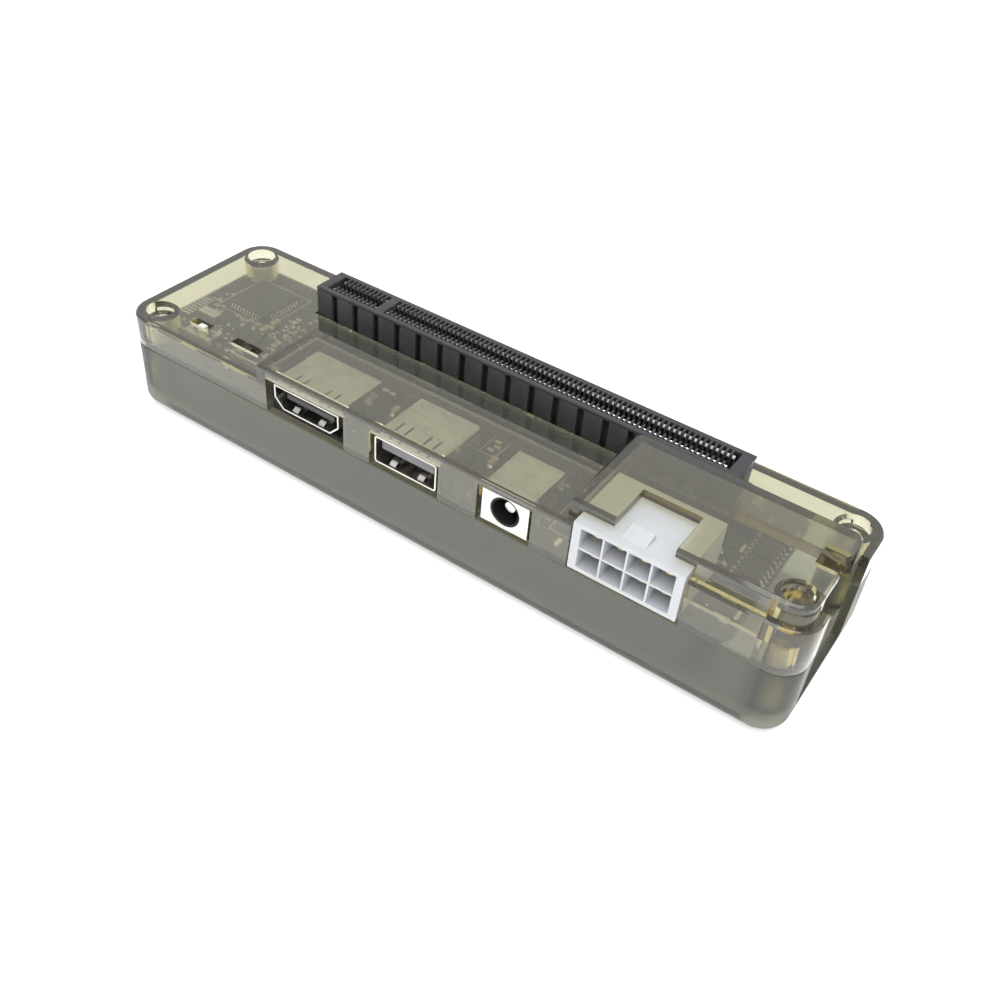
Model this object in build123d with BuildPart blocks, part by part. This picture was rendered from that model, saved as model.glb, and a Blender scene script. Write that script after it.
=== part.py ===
"""External graphics card dock in a smoked two-part case, seen with its slot and ports open to view.

Frame: millimetres, +X to the power connector end, -Y to the port side, +Z up.
The origin is the middle of the case at the height of the surface that it stands on.
"""

from build123d import *
import os

# Case
slot_left_margin = 28.0
slot_right_margin = 23.0
case_width = 37.0
corner_radius = 5.0
wall = 1.5
roof = 1.6
floor_thickness = 1.8
bottom_edge_radius = 2.8
inner_edge_chamfer = 0.8
parting_z = 14.2
parting_chamfer = 0.2
deck_z = 20.6
plateau_z = 23.6
hump_z = 27.2
deck_edge_chamfer = 0.4
plateau_edge_chamfer = 0.4
hump_edge_chamfer = 0.5
plateau_start = 34.4
plateau_depth = 15.7
hump_side_gap = 1.9
hump_corner_radius = 3.5
hump_back_corner_radius = 1.6
hump_notch_width = 10.4
hump_notch_depth = 8.8
hump_notch_offset = 1.5
side_notch_depth = 4.0
side_notch_setback = 12.1
side_notch_length = 5.2
end_opening_front_setback = 7.5
end_opening_back_setback = 11.0
end_opening_sill = 0.6

# Screw posts
post_inset = 4.8
post_diameter = 7.0
post_recess_diameter = 5.5
post_recess_depth = 2.0
screw_head_diameter = 4.8
screw_head_height = 1.9
screw_shaft_diameter = 2.7
screw_drive_width = 2.4
screw_drive_slot = 0.6
screw_drive_depth = 0.9
head_recess_clearance = 0.3
head_recess_depth = 4.0
shaft_clearance = 0.25
pilot_clearance = 0.05
pilot_extra = 0.6
screw_grip = 3.0

# Board
board_thickness = 1.6
board_top_z = 14.9
board_gap = 0.3
board_right_setback = 11.7
board_corner_radius = 3.2
support_size = 4.4
support_inset_x = 5.0
support_inset_y = 4.6

# Graphics card slot
slot_length = 89.0
slot_width = 7.2
slot_height = 11.6
slot_back_margin = 6.4
slot_gap = 0.4
slot_foot_height = 0.4
slot_foot_length = 2.4
card_channel_width = 1.9
card_channel_depth = 8.0
contact_pitch = 1.0
contacts_before_key = 11
contacts_after_key = 71
key_length = 1.9
first_contact_inset = 2.9
trough_side = 1.0
trough_depth = 2.6
blade_length = 0.6
blade_thickness = 0.3
blade_drop = 0.35
blade_setback = 0.1
rib_pitch = 5.0
rib_groove_width = 1.25
rib_groove_depth = 0.7
rib_cap_height = 0.6

# Digital video port
port_setback = 0.5
port_shell_thickness = 0.35
video_start = 37.9
video_width = 15.0
video_height = 4.8
video_bevel_width = 2.0
video_bevel_height = 2.0
video_length = 12.0
video_lift = 0.95
video_tongue_width = 11.0
video_tongue_height = 1.1
video_block_length = 4.0
video_contact_pitch = 1.0
video_contact_width = 0.45
video_contact_count = 10
video_contact_length = 5.2
video_contact_thickness = 0.12
video_contact_setback = 0.4
video_tongue_setback = 1.2
video_leg_setback = 8.6
video_spring_setback = 1.0
port_leg_length = 2.0

# Data port
video_data_gap = 8.0
data_width = 13.2
data_height = 5.6
data_length = 12.6
data_lift = 0.2
data_corner_chamfer = 0.4
data_tongue_width = 11.1
data_tongue_thickness = 1.9
data_tongue_gap = 0.5
data_block_length = 3.6
data_contact_pitch = 2.25
data_contact_width = 1.0
data_contact_count = 4
data_contact_length = 6.0
data_contact_thickness = 0.2
data_contact_setback = 1.2
data_tongue_setback = 0.8
data_leg_setback = 7.6
data_spring_setback = 1.6
spring_slot_width = 0.35
spring_slot_length = 3.4
spring_slot_spacing = 2.0
spring_pair_spacing = 6.0

# Power jack
data_jack_gap = 9.3
jack_width = 9.1
jack_height = 6.6
jack_length = 10.6
jack_bore_diameter = 5.7
jack_bore_depth = 8.6
jack_pin_diameter = 2.0
jack_pin_setback = 1.6
jack_bore_lift = 3.55

# Eight pin power connector
jack_connector_gap = 8.2
connector_width = 19.4
connector_height = 9.6
connector_length = 13.9
connector_overhang = 0.3
cell_pitch = 4.2
cell_width = 3.8
cell_depth = 9.2
pin_width = 1.1
pin_length = 7.0
latch_width = 4.2
latch_length = 3.0
latch_height = 1.0
latch_setback = 1.6

# Cut-outs in the front wall
cutout_side_gap = 1.5
video_cutout_lift = 0.75
data_cutout_lift = 0.6
jack_cutout_lift = 0.4
connector_side_gap = 0.35

# Slide switches
switch_body_length = 6.8
switch_body_width = 3.0
switch_body_height = 3.2
switch_setback = 6.2
switch_one_start = 14.5
switch_two_start = 26.2
switch_one_travel = 1.1
switch_two_travel = 2.2
lever_length = 1.6
lever_width = 1.2
lever_below_deck = 0.35
lever_foot_depth = 1.0
lever_clearance = 0.15
lever_end_gap = 0.3
opening_side_gap = 0.3
switch_leg_width = 0.5
switch_leg_pitch = 2.2
switch_leg_reach = 0.8

# Parts on the board
main_chip_size = 10.0
main_chip_height = 1.2
main_lead_pitch = 0.8
main_lead_width = 0.35
main_lead_count = 10
driver_chip_size = 4.4
driver_chip_height = 0.9
flash_chip_length = 5.0
flash_chip_width = 3.9
flash_chip_height = 1.4
chip_leg_pitch = 1.27
chip_leg_width = 0.42
chip_leg_reach = 1.0
chip_leg_height = 0.2
transistor_length = 3.9
transistor_width = 4.9
transistor_height = 1.3
transistor_pitch = 5.4
coil_size = 4.0
coil_height = 2.0
coil_corner = 0.8
coil_cap_thickness = 0.4
coil_waist = 0.3
coil_gap = 0.7
can_diameter = 2.6
can_height = 2.2
can_base = 0.5
crystal_length = 4.6
crystal_width = 2.2
crystal_height = 1.3
small_length = 1.6
small_width = 0.8
small_height = 0.55
cap_length = 2.0
cap_width = 1.25
cap_height = 1.0
lamp_length = 1.6
lamp_width = 0.8
lamp_height = 0.7
edge_pad_count = 8
edge_pad_pitch = 0.9
edge_pad_length = 2.4
edge_pad_width = 0.5
edge_pad_height = 0.15
edge_pad_inset = 0.3
edge_pad_setback = 15.1

# Places of the parts on the board, each as a distance from the left end and one from the front
driver_chip_spots = ((19.5, 12.9),)
memory_chip_spot = (30.0, 12.0)
crystal_spot = (8.2, 13.9)
lamp_spot = (14.0, 10.1)
resistor_spots = (
    (22.4, 16.3), (25.2, 17.5), (28.6, 15.9), (31.4, 17.9), (23.8, 19.9), (24.8, 21.9),
    (36.0, 16.5), (58.0, 15.1), (63.6, 17.5), (68.6, 14.9), (84.0, 13.7), (90.4, 15.5),
)
ceramic_spots = (
    (19.8, 16.9), (19.8, 19.9), (22.8, 22.7), (25.4, 14.3), (8.0, 9.9), (33.8, 17.5),
    (55.6, 12.9), (77.6, 12.3),
)
# Places near the power connector, from its left side and from the front
connector_chip_spot = (-4.2, 9.0)
connector_lamp_spot = (-3.7, 3.9)
# Places tied to the right end, from it and from the front
can_spots = ((-35.8, 17.3), (-31.6, 17.3))
right_resistor_spots = ((-25.8, 17.0), (-21.6, 17.5), (-20.0, 15.3))
right_ceramic_spots = ((-45.4, 15.3), (-43.2, 17.5))
# Places tied to the back: the main chip from the left end, one capacitor from the right end
main_chip_spot = (12.4, 12.3)
back_ceramic_spot = (21.0, 5.1)
# The power transistors stand in a row, from the right end and the front
transistor_spot = (14.8, 16.5)
transistor_count = 3

# Worked out from the sizes above
case_length = slot_left_margin + slot_length + slot_right_margin
half_length = case_length / 2
half_width = case_width / 2
left_x = -half_length
front_y = -half_width
end_opening_front_y = front_y + end_opening_front_setback
end_opening_back_y = half_width - end_opening_back_setback
side_notch_start_y = front_y + side_notch_setback
side_notch_end_y = side_notch_start_y + side_notch_length
plateau_left_x = left_x + plateau_start
plateau_back_y = front_y + plateau_depth
slot_left_x = left_x + slot_left_margin
slot_front_y = half_width - slot_back_margin - slot_width
video_left_x = left_x + video_start
data_left_x = video_left_x + video_width + video_data_gap
jack_left_x = data_left_x + data_width + data_jack_gap
connector_left_x = jack_left_x + jack_width + jack_connector_gap
connector_centre_x = connector_left_x + connector_width / 2
hump_left_x = connector_left_x - hump_side_gap
switch_one_x = left_x + switch_one_start
switch_two_x = left_x + switch_two_start
switch_centre_y = front_y + switch_setback
board_right_x = half_length - board_right_setback
inner_front_y = front_y + wall
board_bottom_z = board_top_z - board_thickness
board_left_x = -half_length + wall + board_gap
board_length = board_right_x - board_left_x
board_width = case_width - 2 * (wall + board_gap)
board_centre_x = (board_left_x + board_right_x) / 2
post_x = half_length - post_inset
post_y = half_width - post_inset
hump_right_x = half_length - wall
hump_front_y = inner_front_y
hump_back_y = slot_front_y - slot_gap
slot_right_x = slot_left_x + slot_length
slot_centre_x = (slot_left_x + slot_right_x) / 2
slot_centre_y = slot_front_y + slot_width / 2
slot_top_z = board_top_z + slot_height
port_face_y = front_y + port_setback
video_centre_x = video_left_x + video_width / 2
video_bottom_z = board_top_z + video_lift
video_top_z = video_bottom_z + video_height
data_centre_x = data_left_x + data_width / 2
data_bottom_z = board_top_z + data_lift
data_top_z = data_bottom_z + data_height
jack_centre_x = jack_left_x + jack_width / 2
jack_bore_z = board_top_z + jack_bore_lift
connector_face_y = front_y - connector_overhang
connector_top_z = board_top_z + connector_height
switch_top_z = board_top_z + switch_body_height
pilot_top_z = board_top_z + screw_grip
head_seat_z = head_recess_depth
cut_margin = 1.0
tiny = 0.01
support_places = [(board_right_x - support_inset_x, y) for y in (
    -board_width / 2 + support_inset_y + wall, board_width / 2 - support_inset_y)]


def put(node, name):
    """Label a finished piece and write it to its own file."""
    node.part.label = name
    export_step(node.part, os.path.join("parts", name + ".step"))


def on_board(spots, start_x=left_x):
    """Places on the board from distances to the right of start_x and back from the front."""
    return [(start_x + right, front_y + back) for right, back in spots]


def contact_row():
    """Middles of the contacts along the slot, with the gap that the card's key takes."""
    first = slot_left_x + first_contact_inset
    step_over_key = (contacts_before_key + 1) * contact_pitch + key_length - contact_pitch
    before = [first + i * contact_pitch for i in range(contacts_before_key)]
    after = [first + step_over_key + i * contact_pitch for i in range(contacts_after_key)]
    return before, after


def key_centre():
    """Middle of the web that keys the card."""
    before, after = contact_row()
    return (before[-1] + after[0]) / 2


def video_outline():
    """Corners of the digital video port's shell, wide at the top and bevelled below."""
    half = video_width / 2
    return (
        (video_centre_x - half, video_top_z),
        (video_centre_x + half, video_top_z),
        (video_centre_x + half, video_bottom_z + video_bevel_height),
        (video_centre_x + half - video_bevel_width, video_bottom_z),
        (video_centre_x - half + video_bevel_width, video_bottom_z),
        (video_centre_x - half, video_bottom_z + video_bevel_height),
    )


os.makedirs("parts", exist_ok=True)

# Bottom shell
with BuildPart() as bottom_shell:
    with BuildSketch(Plane.XY):
        RectangleRounded(case_length, case_width, corner_radius)
    extrude(amount=parting_z)
    fillet(bottom_shell.faces().sort_by(Axis.Z)[0].edges(), bottom_edge_radius)
    chamfer(bottom_shell.faces().sort_by(Axis.Z)[-1].edges(), parting_chamfer)
    with BuildSketch(Plane.XY.offset(floor_thickness)) as cavity_outline:
        RectangleRounded(case_length - 2 * wall, case_width - 2 * wall, corner_radius - wall)
    extrude(amount=parting_z - floor_thickness, mode=Mode.SUBTRACT)
    cavity_floor = bottom_shell.faces().filter_by(Axis.Z).filter_by_position(
        Axis.Z, floor_thickness - tiny, floor_thickness + tiny)
    chamfer(cavity_floor.edges(), inner_edge_chamfer)
    # Posts under the board at the left, and up to the cover's own posts at the right
    with BuildSketch(Plane.XY.offset(floor_thickness)):
        with Locations((-post_x, -post_y), (-post_x, post_y)):
            Circle(post_diameter / 2)
    extrude(amount=board_bottom_z - floor_thickness)
    with BuildSketch(Plane.XY.offset(floor_thickness)):
        with Locations((post_x, -post_y), (post_x, post_y)):
            Circle(post_diameter / 2)
    extrude(amount=parting_z - floor_thickness)
    # Plain supports for the board's free end
    with BuildSketch(Plane.XY.offset(floor_thickness)):
        with Locations(*support_places):
            Rectangle(support_size, support_size)
    extrude(amount=board_bottom_z - floor_thickness)
    # Screw holes, each with a recess for the head
    with BuildSketch(Plane.XY):
        with GridLocations(2 * post_x, 2 * post_y, 2, 2):
            Circle(screw_head_diameter / 2 + head_recess_clearance)
    extrude(amount=head_recess_depth, mode=Mode.SUBTRACT)
    with BuildSketch(Plane.XY):
        with GridLocations(2 * post_x, 2 * post_y, 2, 2):
            Circle(screw_shaft_diameter / 2 + shaft_clearance)
    extrude(amount=parting_z, mode=Mode.SUBTRACT)
    # Window in the end wall
    sill_z = floor_thickness + end_opening_sill
    with BuildSketch(Plane.XY.offset(sill_z)):
        with Locations((half_length, (end_opening_front_y + end_opening_back_y) / 2)):
            Rectangle(2 * wall, end_opening_back_y - end_opening_front_y)
    extrude(amount=parting_z - sill_z + cut_margin, mode=Mode.SUBTRACT)
put(bottom_shell, "bottom_shell")

# Top cover
with BuildPart() as top_cover:
    with BuildSketch(Plane.XY.offset(parting_z)):
        RectangleRounded(case_length, case_width, corner_radius)
    extrude(amount=deck_z - parting_z)
    chamfer(top_cover.faces().sort_by(Axis.Z)[-1].edges(), deck_edge_chamfer)
    chamfer(top_cover.faces().sort_by(Axis.Z)[0].edges(), parting_chamfer)
    # Raised level over the ports, and the rim round the hump's front corner
    with BuildSketch(Plane.XY.offset(deck_z - roof)):
        with Locations(((plateau_left_x + hump_left_x + wall) / 2, (front_y + plateau_back_y) / 2)):
            Rectangle(hump_left_x + wall - plateau_left_x, plateau_back_y - front_y)
        with Locations(((hump_left_x + half_length) / 2, (front_y + end_opening_front_y) / 2)):
            Rectangle(half_length - hump_left_x, end_opening_front_y - front_y)
        RectangleRounded(case_length, case_width, corner_radius, mode=Mode.INTERSECT)
    extrude(amount=plateau_z - deck_z + roof)
    chamfer(top_cover.faces().sort_by(Axis.Z)[-1].edges(), plateau_edge_chamfer)
    # Hump over the power connector
    with BuildSketch(Plane.XY.offset(deck_z - roof)) as hump_outline:
        with Locations(((hump_left_x + hump_right_x) / 2, (hump_front_y + hump_back_y) / 2)):
            Rectangle(hump_right_x - hump_left_x, hump_back_y - hump_front_y)
        front_right = hump_outline.vertices().group_by(Axis.Y)[0].sort_by(Axis.X)[-1]
        fillet(front_right, hump_corner_radius)
        back_corners = hump_outline.vertices().group_by(Axis.Y)[-1]
        fillet(back_corners, hump_back_corner_radius)
    extrude(amount=hump_z - deck_z + roof)
    chamfer(top_cover.faces().sort_by(Axis.Z)[-1].edges(), hump_edge_chamfer)
    # Hollow under the deck, the raised level and the hump
    with BuildSketch(Plane.XY.offset(parting_z)):
        RectangleRounded(case_length - 2 * wall, case_width - 2 * wall, corner_radius - wall)
    extrude(amount=deck_z - roof - parting_z, mode=Mode.SUBTRACT)
    with BuildSketch(Plane.XY.offset(deck_z - roof)):
        with Locations(((plateau_left_x + hump_left_x + 2 * wall) / 2,
                        (inner_front_y + plateau_back_y - wall) / 2)):
            Rectangle(hump_left_x - plateau_left_x, plateau_back_y - wall - inner_front_y)
    extrude(amount=plateau_z - deck_z, mode=Mode.SUBTRACT)
    with BuildSketch(Plane.XY.offset(deck_z - roof)) as hump_hollow:
        with Locations(((hump_left_x + hump_right_x) / 2, (hump_front_y + hump_back_y) / 2)):
            Rectangle(hump_right_x - hump_left_x - 2 * wall, hump_back_y - hump_front_y - 2 * wall)
        hollow_corner = hump_hollow.vertices().group_by(Axis.Y)[0].sort_by(Axis.X)[-1]
        fillet(hollow_corner, hump_corner_radius - wall)
    extrude(amount=hump_z - deck_z, mode=Mode.SUBTRACT)
    # Screw posts
    with BuildSketch(Plane.XY.offset(board_top_z)):
        with Locations((-post_x, -post_y), (-post_x, post_y)):
            Circle(post_diameter / 2)
    extrude(amount=deck_z - roof - board_top_z)
    with BuildSketch(Plane.XY.offset(parting_z)):
        with Locations((post_x, post_y)):
            Circle(post_diameter / 2)
    extrude(amount=deck_z - roof - parting_z)
    with BuildSketch(Plane.XY.offset(parting_z)):
        with Locations((post_x, -post_y)):
            Circle(post_diameter / 2)
    extrude(amount=hump_z - roof - parting_z)
    # Recesses in the top of the posts and pilot holes from below
    with BuildSketch(Plane.XY.offset(deck_z)):
        with Locations((-post_x, -post_y), (-post_x, post_y), (post_x, post_y)):
            Circle(post_recess_diameter / 2)
    extrude(amount=-post_recess_depth, mode=Mode.SUBTRACT)
    with BuildSketch(Plane.XY.offset(hump_z)):
        with Locations((post_x, -post_y)):
            Circle(post_recess_diameter / 2)
    extrude(amount=-post_recess_depth, mode=Mode.SUBTRACT)
    with BuildSketch(Plane.XY.offset(parting_z)):
        with GridLocations(2 * post_x, 2 * post_y, 2, 2):
            Circle(screw_shaft_diameter / 2 + pilot_clearance)
    extrude(amount=pilot_top_z + pilot_extra - parting_z, mode=Mode.SUBTRACT)
    # Opening round the card slot
    with BuildSketch(Plane.XY.offset(deck_z - roof)):
        with Locations((slot_centre_x, slot_centre_y)):
            Rectangle(slot_length + 2 * slot_gap, slot_width + 2 * slot_gap)
    extrude(amount=hump_z - deck_z + roof, mode=Mode.SUBTRACT)
    # Port cut-outs, open at the parting line
    port_cutouts = (
        (video_centre_x, video_width + 2 * cutout_side_gap, video_top_z + video_cutout_lift),
        (data_centre_x, data_width + cutout_side_gap, data_top_z + data_cutout_lift),
        (jack_centre_x, jack_width + cutout_side_gap, board_top_z + jack_height + jack_cutout_lift),
    )
    for centre_x, width, top_z in port_cutouts:
        with BuildSketch(Plane.XY.offset(parting_z)):
            with Locations((centre_x, front_y)):
                Rectangle(width, 2 * wall)
        extrude(amount=top_z - parting_z, mode=Mode.SUBTRACT)
    with BuildSketch(Plane.XY.offset(parting_z)):
        with Locations((connector_centre_x, front_y)):
            Rectangle(connector_width + 2 * connector_side_gap, 4 * wall + cut_margin)
    extrude(amount=hump_z - roof - parting_z, mode=Mode.SUBTRACT)
    # Notches in the hump's roof
    with BuildSketch(Plane.XY.offset(hump_z - roof)):
        with Locations((connector_centre_x + hump_notch_offset, hump_front_y)):
            Rectangle(hump_notch_width, 2 * hump_notch_depth)
        with Locations((hump_right_x, (side_notch_start_y + side_notch_end_y) / 2)):
            Rectangle(2 * side_notch_depth, side_notch_end_y - side_notch_start_y)
    extrude(amount=roof, mode=Mode.SUBTRACT)
    # Window in the end wall, and the hump's open end above it
    with BuildSketch(Plane.XY.offset(parting_z)):
        with Locations((half_length, (end_opening_front_y + end_opening_back_y) / 2)):
            Rectangle(2 * wall, end_opening_back_y - end_opening_front_y)
    extrude(amount=plateau_z - parting_z, mode=Mode.SUBTRACT)
    with BuildSketch(Plane.XY.offset(parting_z)):
        with Locations((half_length, (end_opening_front_y + hump_back_y - wall) / 2)):
            Rectangle(4 * wall, hump_back_y - wall - end_opening_front_y)
    extrude(amount=hump_z - roof - parting_z, mode=Mode.SUBTRACT)
    # Openings over the slide switches
    with BuildSketch(Plane.XY.offset(deck_z - roof)):
        for switch_x, travel in ((switch_one_x, switch_one_travel), (switch_two_x, switch_two_travel)):
            with Locations((switch_x, switch_centre_y)):
                Rectangle(lever_length + 2 * travel + 2 * lever_end_gap, lever_width + 2 * opening_side_gap)
    extrude(amount=roof, mode=Mode.SUBTRACT)
put(top_cover, "top_cover")

# Circuit board
with BuildPart() as circuit_board:
    with BuildSketch(Plane.XY.offset(board_bottom_z)):
        with Locations((board_centre_x, 0)):
            RectangleRounded(board_length, board_width, board_corner_radius)
        with Locations((-post_x, -post_y), (-post_x, post_y)):
            Circle(screw_shaft_diameter / 2 + shaft_clearance, mode=Mode.SUBTRACT)
    extrude(amount=board_thickness)
put(circuit_board, "circuit_board")

# Case screws, driven in from below
with BuildPart() as case_screws:
    with BuildSketch(Plane.XY.offset(head_seat_z)):
        with GridLocations(2 * post_x, 2 * post_y, 2, 2):
            Circle(screw_head_diameter / 2)
    extrude(amount=-screw_head_height)
    with BuildSketch(Plane.XY.offset(head_seat_z)):
        with GridLocations(2 * post_x, 2 * post_y, 2, 2):
            Circle(screw_shaft_diameter / 2)
    extrude(amount=pilot_top_z - head_seat_z)
    with BuildSketch(Plane.XY.offset(head_seat_z - screw_head_height)):
        with GridLocations(2 * post_x, 2 * post_y, 2, 2):
            Rectangle(screw_drive_width, screw_drive_slot)
            Rectangle(screw_drive_slot, screw_drive_width)
    extrude(amount=screw_drive_depth, mode=Mode.SUBTRACT)
put(case_screws, "case_screws")

# Card slot body
with BuildPart() as slot_body:
    with BuildSketch(Plane.XY.offset(board_top_z + slot_foot_height)):
        with Locations((slot_centre_x, slot_centre_y)):
            Rectangle(slot_length, slot_width)
    extrude(amount=slot_height - slot_foot_height)
    # Feet that stand on the board
    with BuildSketch(Plane.XY.offset(board_top_z)):
        with Locations((slot_centre_x, slot_centre_y)):
            with GridLocations(slot_length - slot_foot_length, 0, 2, 1):
                Rectangle(slot_foot_length, slot_width)
        with Locations((key_centre(), slot_centre_y)):
            Rectangle(slot_foot_length, slot_width)
    extrude(amount=slot_foot_height)
    # Grooves between the ribs on both long sides, under a plain cap
    rib_count = int((slot_length - rib_pitch) / rib_pitch)
    with BuildSketch(Plane.XY.offset(board_top_z + slot_foot_height)):
        with Locations((slot_centre_x, slot_front_y), (slot_centre_x, slot_front_y + slot_width)):
            with GridLocations(rib_pitch, 0, rib_count, 1):
                Rectangle(rib_groove_width, 2 * rib_groove_depth)
    extrude(amount=slot_height - slot_foot_height - rib_cap_height, mode=Mode.SUBTRACT)
    # Channel for the card's edge, on both sides of the key
    before_key, after_key = contact_row()
    channels = (
        (before_key[0] - contact_pitch, key_centre() - key_length / 2),
        (key_centre() + key_length / 2, after_key[-1] + contact_pitch),
    )
    with BuildSketch(Plane.XY.offset(slot_top_z)):
        for start_x, end_x in channels:
            with Locations(((start_x + end_x) / 2, slot_centre_y)):
                Rectangle(end_x - start_x, card_channel_width)
    extrude(amount=-card_channel_depth, mode=Mode.SUBTRACT)
    # The channel widens at the top into a trough that holds the contacts
    with BuildSketch(Plane.XY.offset(slot_top_z)):
        for start_x, end_x in channels:
            with Locations(((start_x + end_x) / 2, slot_centre_y)):
                Rectangle(end_x - start_x, card_channel_width + 2 * trough_side)
    extrude(amount=-trough_depth, mode=Mode.SUBTRACT)
put(slot_body, "slot_body")

# Contact blades, standing in the trough along both sides of the channel
for side, name in ((-1, "slot_contacts_front"), (1, "slot_contacts_back")):
    blade_y = slot_centre_y + side * (card_channel_width / 2 + blade_setback + blade_thickness / 2)
    with BuildPart() as slot_contacts:
        with BuildSketch(Plane.XY.offset(slot_top_z - trough_depth)):
            for x in before_key + after_key:
                with Locations((x, blade_y)):
                    Rectangle(blade_length, blade_thickness)
        extrude(amount=trough_depth - blade_drop)
    put(slot_contacts, name)

# Digital video port: the shell is a beaded tube with a bevelled lower half
with BuildPart() as video_shell:
    with BuildSketch(Plane.XZ.offset(-port_face_y)):
        with BuildLine():
            Polyline(*video_outline(), close=True)
        make_face()
        offset(amount=-port_shell_thickness, mode=Mode.SUBTRACT)
    extrude(amount=-video_length)
    # Legs down to the board
    with BuildSketch(Plane.XY.offset(board_top_z)):
        with Locations((video_centre_x, port_face_y + video_leg_setback)):
            with GridLocations(video_width - port_shell_thickness, 0, 2, 1):
                Rectangle(port_shell_thickness, port_leg_length)
    extrude(amount=video_lift + video_bevel_height + port_shell_thickness)
    # Spring fingers in the top
    with BuildSketch(Plane.XY.offset(video_top_z - port_shell_thickness)):
        with Locations((video_centre_x, port_face_y + video_spring_setback + spring_slot_length / 2)):
            with GridLocations(spring_pair_spacing + spring_slot_spacing / 2, 0, 2, 1):
                with GridLocations(spring_slot_spacing, 0, 2, 1):
                    Rectangle(spring_slot_width, spring_slot_length)
    extrude(amount=port_shell_thickness, mode=Mode.SUBTRACT)
put(video_shell, "video_port_shell")

with BuildPart() as video_insert:
    with BuildSketch(Plane.XZ.offset(-(port_face_y + video_length - video_block_length))):
        with BuildLine():
            Polyline(*video_outline(), close=True)
        make_face()
        offset(amount=-port_shell_thickness, mode=Mode.INTERSECT)
    extrude(amount=-video_block_length)
    tongue_z = video_bottom_z + video_height / 2
    tongue_start_y = port_face_y + video_tongue_setback
    with BuildSketch(Plane.XZ.offset(-tongue_start_y)):
        with Locations((video_centre_x, tongue_z)):
            Rectangle(video_tongue_width, video_tongue_height)
    extrude(amount=-(video_length - video_block_length - video_tongue_setback))
put(video_insert, "video_port_insert")

with BuildPart() as video_contacts:
    with BuildSketch(Plane.XY.offset(tongue_z + video_tongue_height / 2)):
        with Locations((video_centre_x, tongue_start_y + video_contact_setback + video_contact_length / 2)):
            with GridLocations(video_contact_pitch, 0, video_contact_count, 1):
                Rectangle(video_contact_width, video_contact_length)
    extrude(amount=video_contact_thickness)
    with BuildSketch(Plane.XY.offset(tongue_z - video_tongue_height / 2)):
        with Locations((video_centre_x, tongue_start_y + video_contact_setback + video_contact_length / 2)):
            with GridLocations(video_contact_pitch, 0, video_contact_count - 1, 1):
                Rectangle(video_contact_width, video_contact_length)
    extrude(amount=-video_contact_thickness)
put(video_contacts, "video_port_contacts")

# Data port
with BuildPart() as data_shell:
    with BuildSketch(Plane.XZ.offset(-port_face_y)) as data_outline:
        with Locations((data_centre_x, data_bottom_z + data_height / 2)):
            Rectangle(data_width, data_height)
        chamfer(data_outline.vertices(), data_corner_chamfer)
        offset(amount=-port_shell_thickness, mode=Mode.SUBTRACT)
    extrude(amount=-data_length)
    with BuildSketch(Plane.XY.offset(board_top_z)):
        with Locations((data_centre_x, port_face_y + data_leg_setback)):
            with GridLocations(data_width - port_shell_thickness, 0, 2, 1):
                Rectangle(port_shell_thickness, port_leg_length)
    extrude(amount=data_lift + data_corner_chamfer + port_shell_thickness)
    with BuildSketch(Plane.XY.offset(data_top_z - port_shell_thickness)):
        with Locations((data_centre_x, port_face_y + data_spring_setback + spring_slot_length / 2)):
            with GridLocations(spring_pair_spacing, 0, 2, 1):
                with GridLocations(spring_slot_spacing, 0, 2, 1):
                    Rectangle(spring_slot_width, spring_slot_length)
    extrude(amount=port_shell_thickness, mode=Mode.SUBTRACT)
put(data_shell, "data_port_shell")

data_tongue_top_z = data_top_z - port_shell_thickness - data_tongue_gap
data_tongue_start_y = port_face_y + data_tongue_setback
with BuildPart() as data_insert:
    with BuildSketch(Plane.XZ.offset(-(port_face_y + data_length - data_block_length))) as data_block:
        with Locations((data_centre_x, data_bottom_z + data_height / 2)):
            Rectangle(data_width, data_height)
        chamfer(data_block.vertices(), data_corner_chamfer)
        offset(amount=-port_shell_thickness, mode=Mode.INTERSECT)
    extrude(amount=-data_block_length)
    with BuildSketch(Plane.XZ.offset(-data_tongue_start_y)):
        with Locations((data_centre_x, data_tongue_top_z - data_tongue_thickness / 2)):
            Rectangle(data_tongue_width, data_tongue_thickness)
    extrude(amount=-(data_length - data_block_length - data_tongue_setback))
put(data_insert, "data_port_insert")

with BuildPart() as data_contacts:
    with BuildSketch(Plane.XY.offset(data_tongue_top_z - data_tongue_thickness)):
        with Locations((data_centre_x, data_tongue_start_y + data_contact_setback + data_contact_length / 2)):
            with GridLocations(data_contact_pitch, 0, data_contact_count, 1):
                Rectangle(data_contact_width, data_contact_length)
    extrude(amount=-data_contact_thickness)
put(data_contacts, "data_port_contacts")

# Power jack
with BuildPart() as jack_body:
    with BuildSketch(Plane.XZ.offset(-port_face_y)):
        with Locations((jack_centre_x, board_top_z + jack_height / 2)):
            Rectangle(jack_width, jack_height)
    extrude(amount=-jack_length)
    with BuildSketch(Plane.XZ.offset(-port_face_y)):
        with Locations((jack_centre_x, jack_bore_z)):
            Circle(jack_bore_diameter / 2)
    extrude(amount=-jack_bore_depth, mode=Mode.SUBTRACT)
put(jack_body, "power_jack_body")

with BuildPart() as jack_pin:
    with BuildSketch(Plane.XZ.offset(-(port_face_y + jack_pin_setback))):
        with Locations((jack_centre_x, jack_bore_z)):
            Circle(jack_pin_diameter / 2)
    extrude(amount=-(jack_bore_depth - jack_pin_setback))
put(jack_pin, "power_jack_pin")

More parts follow.
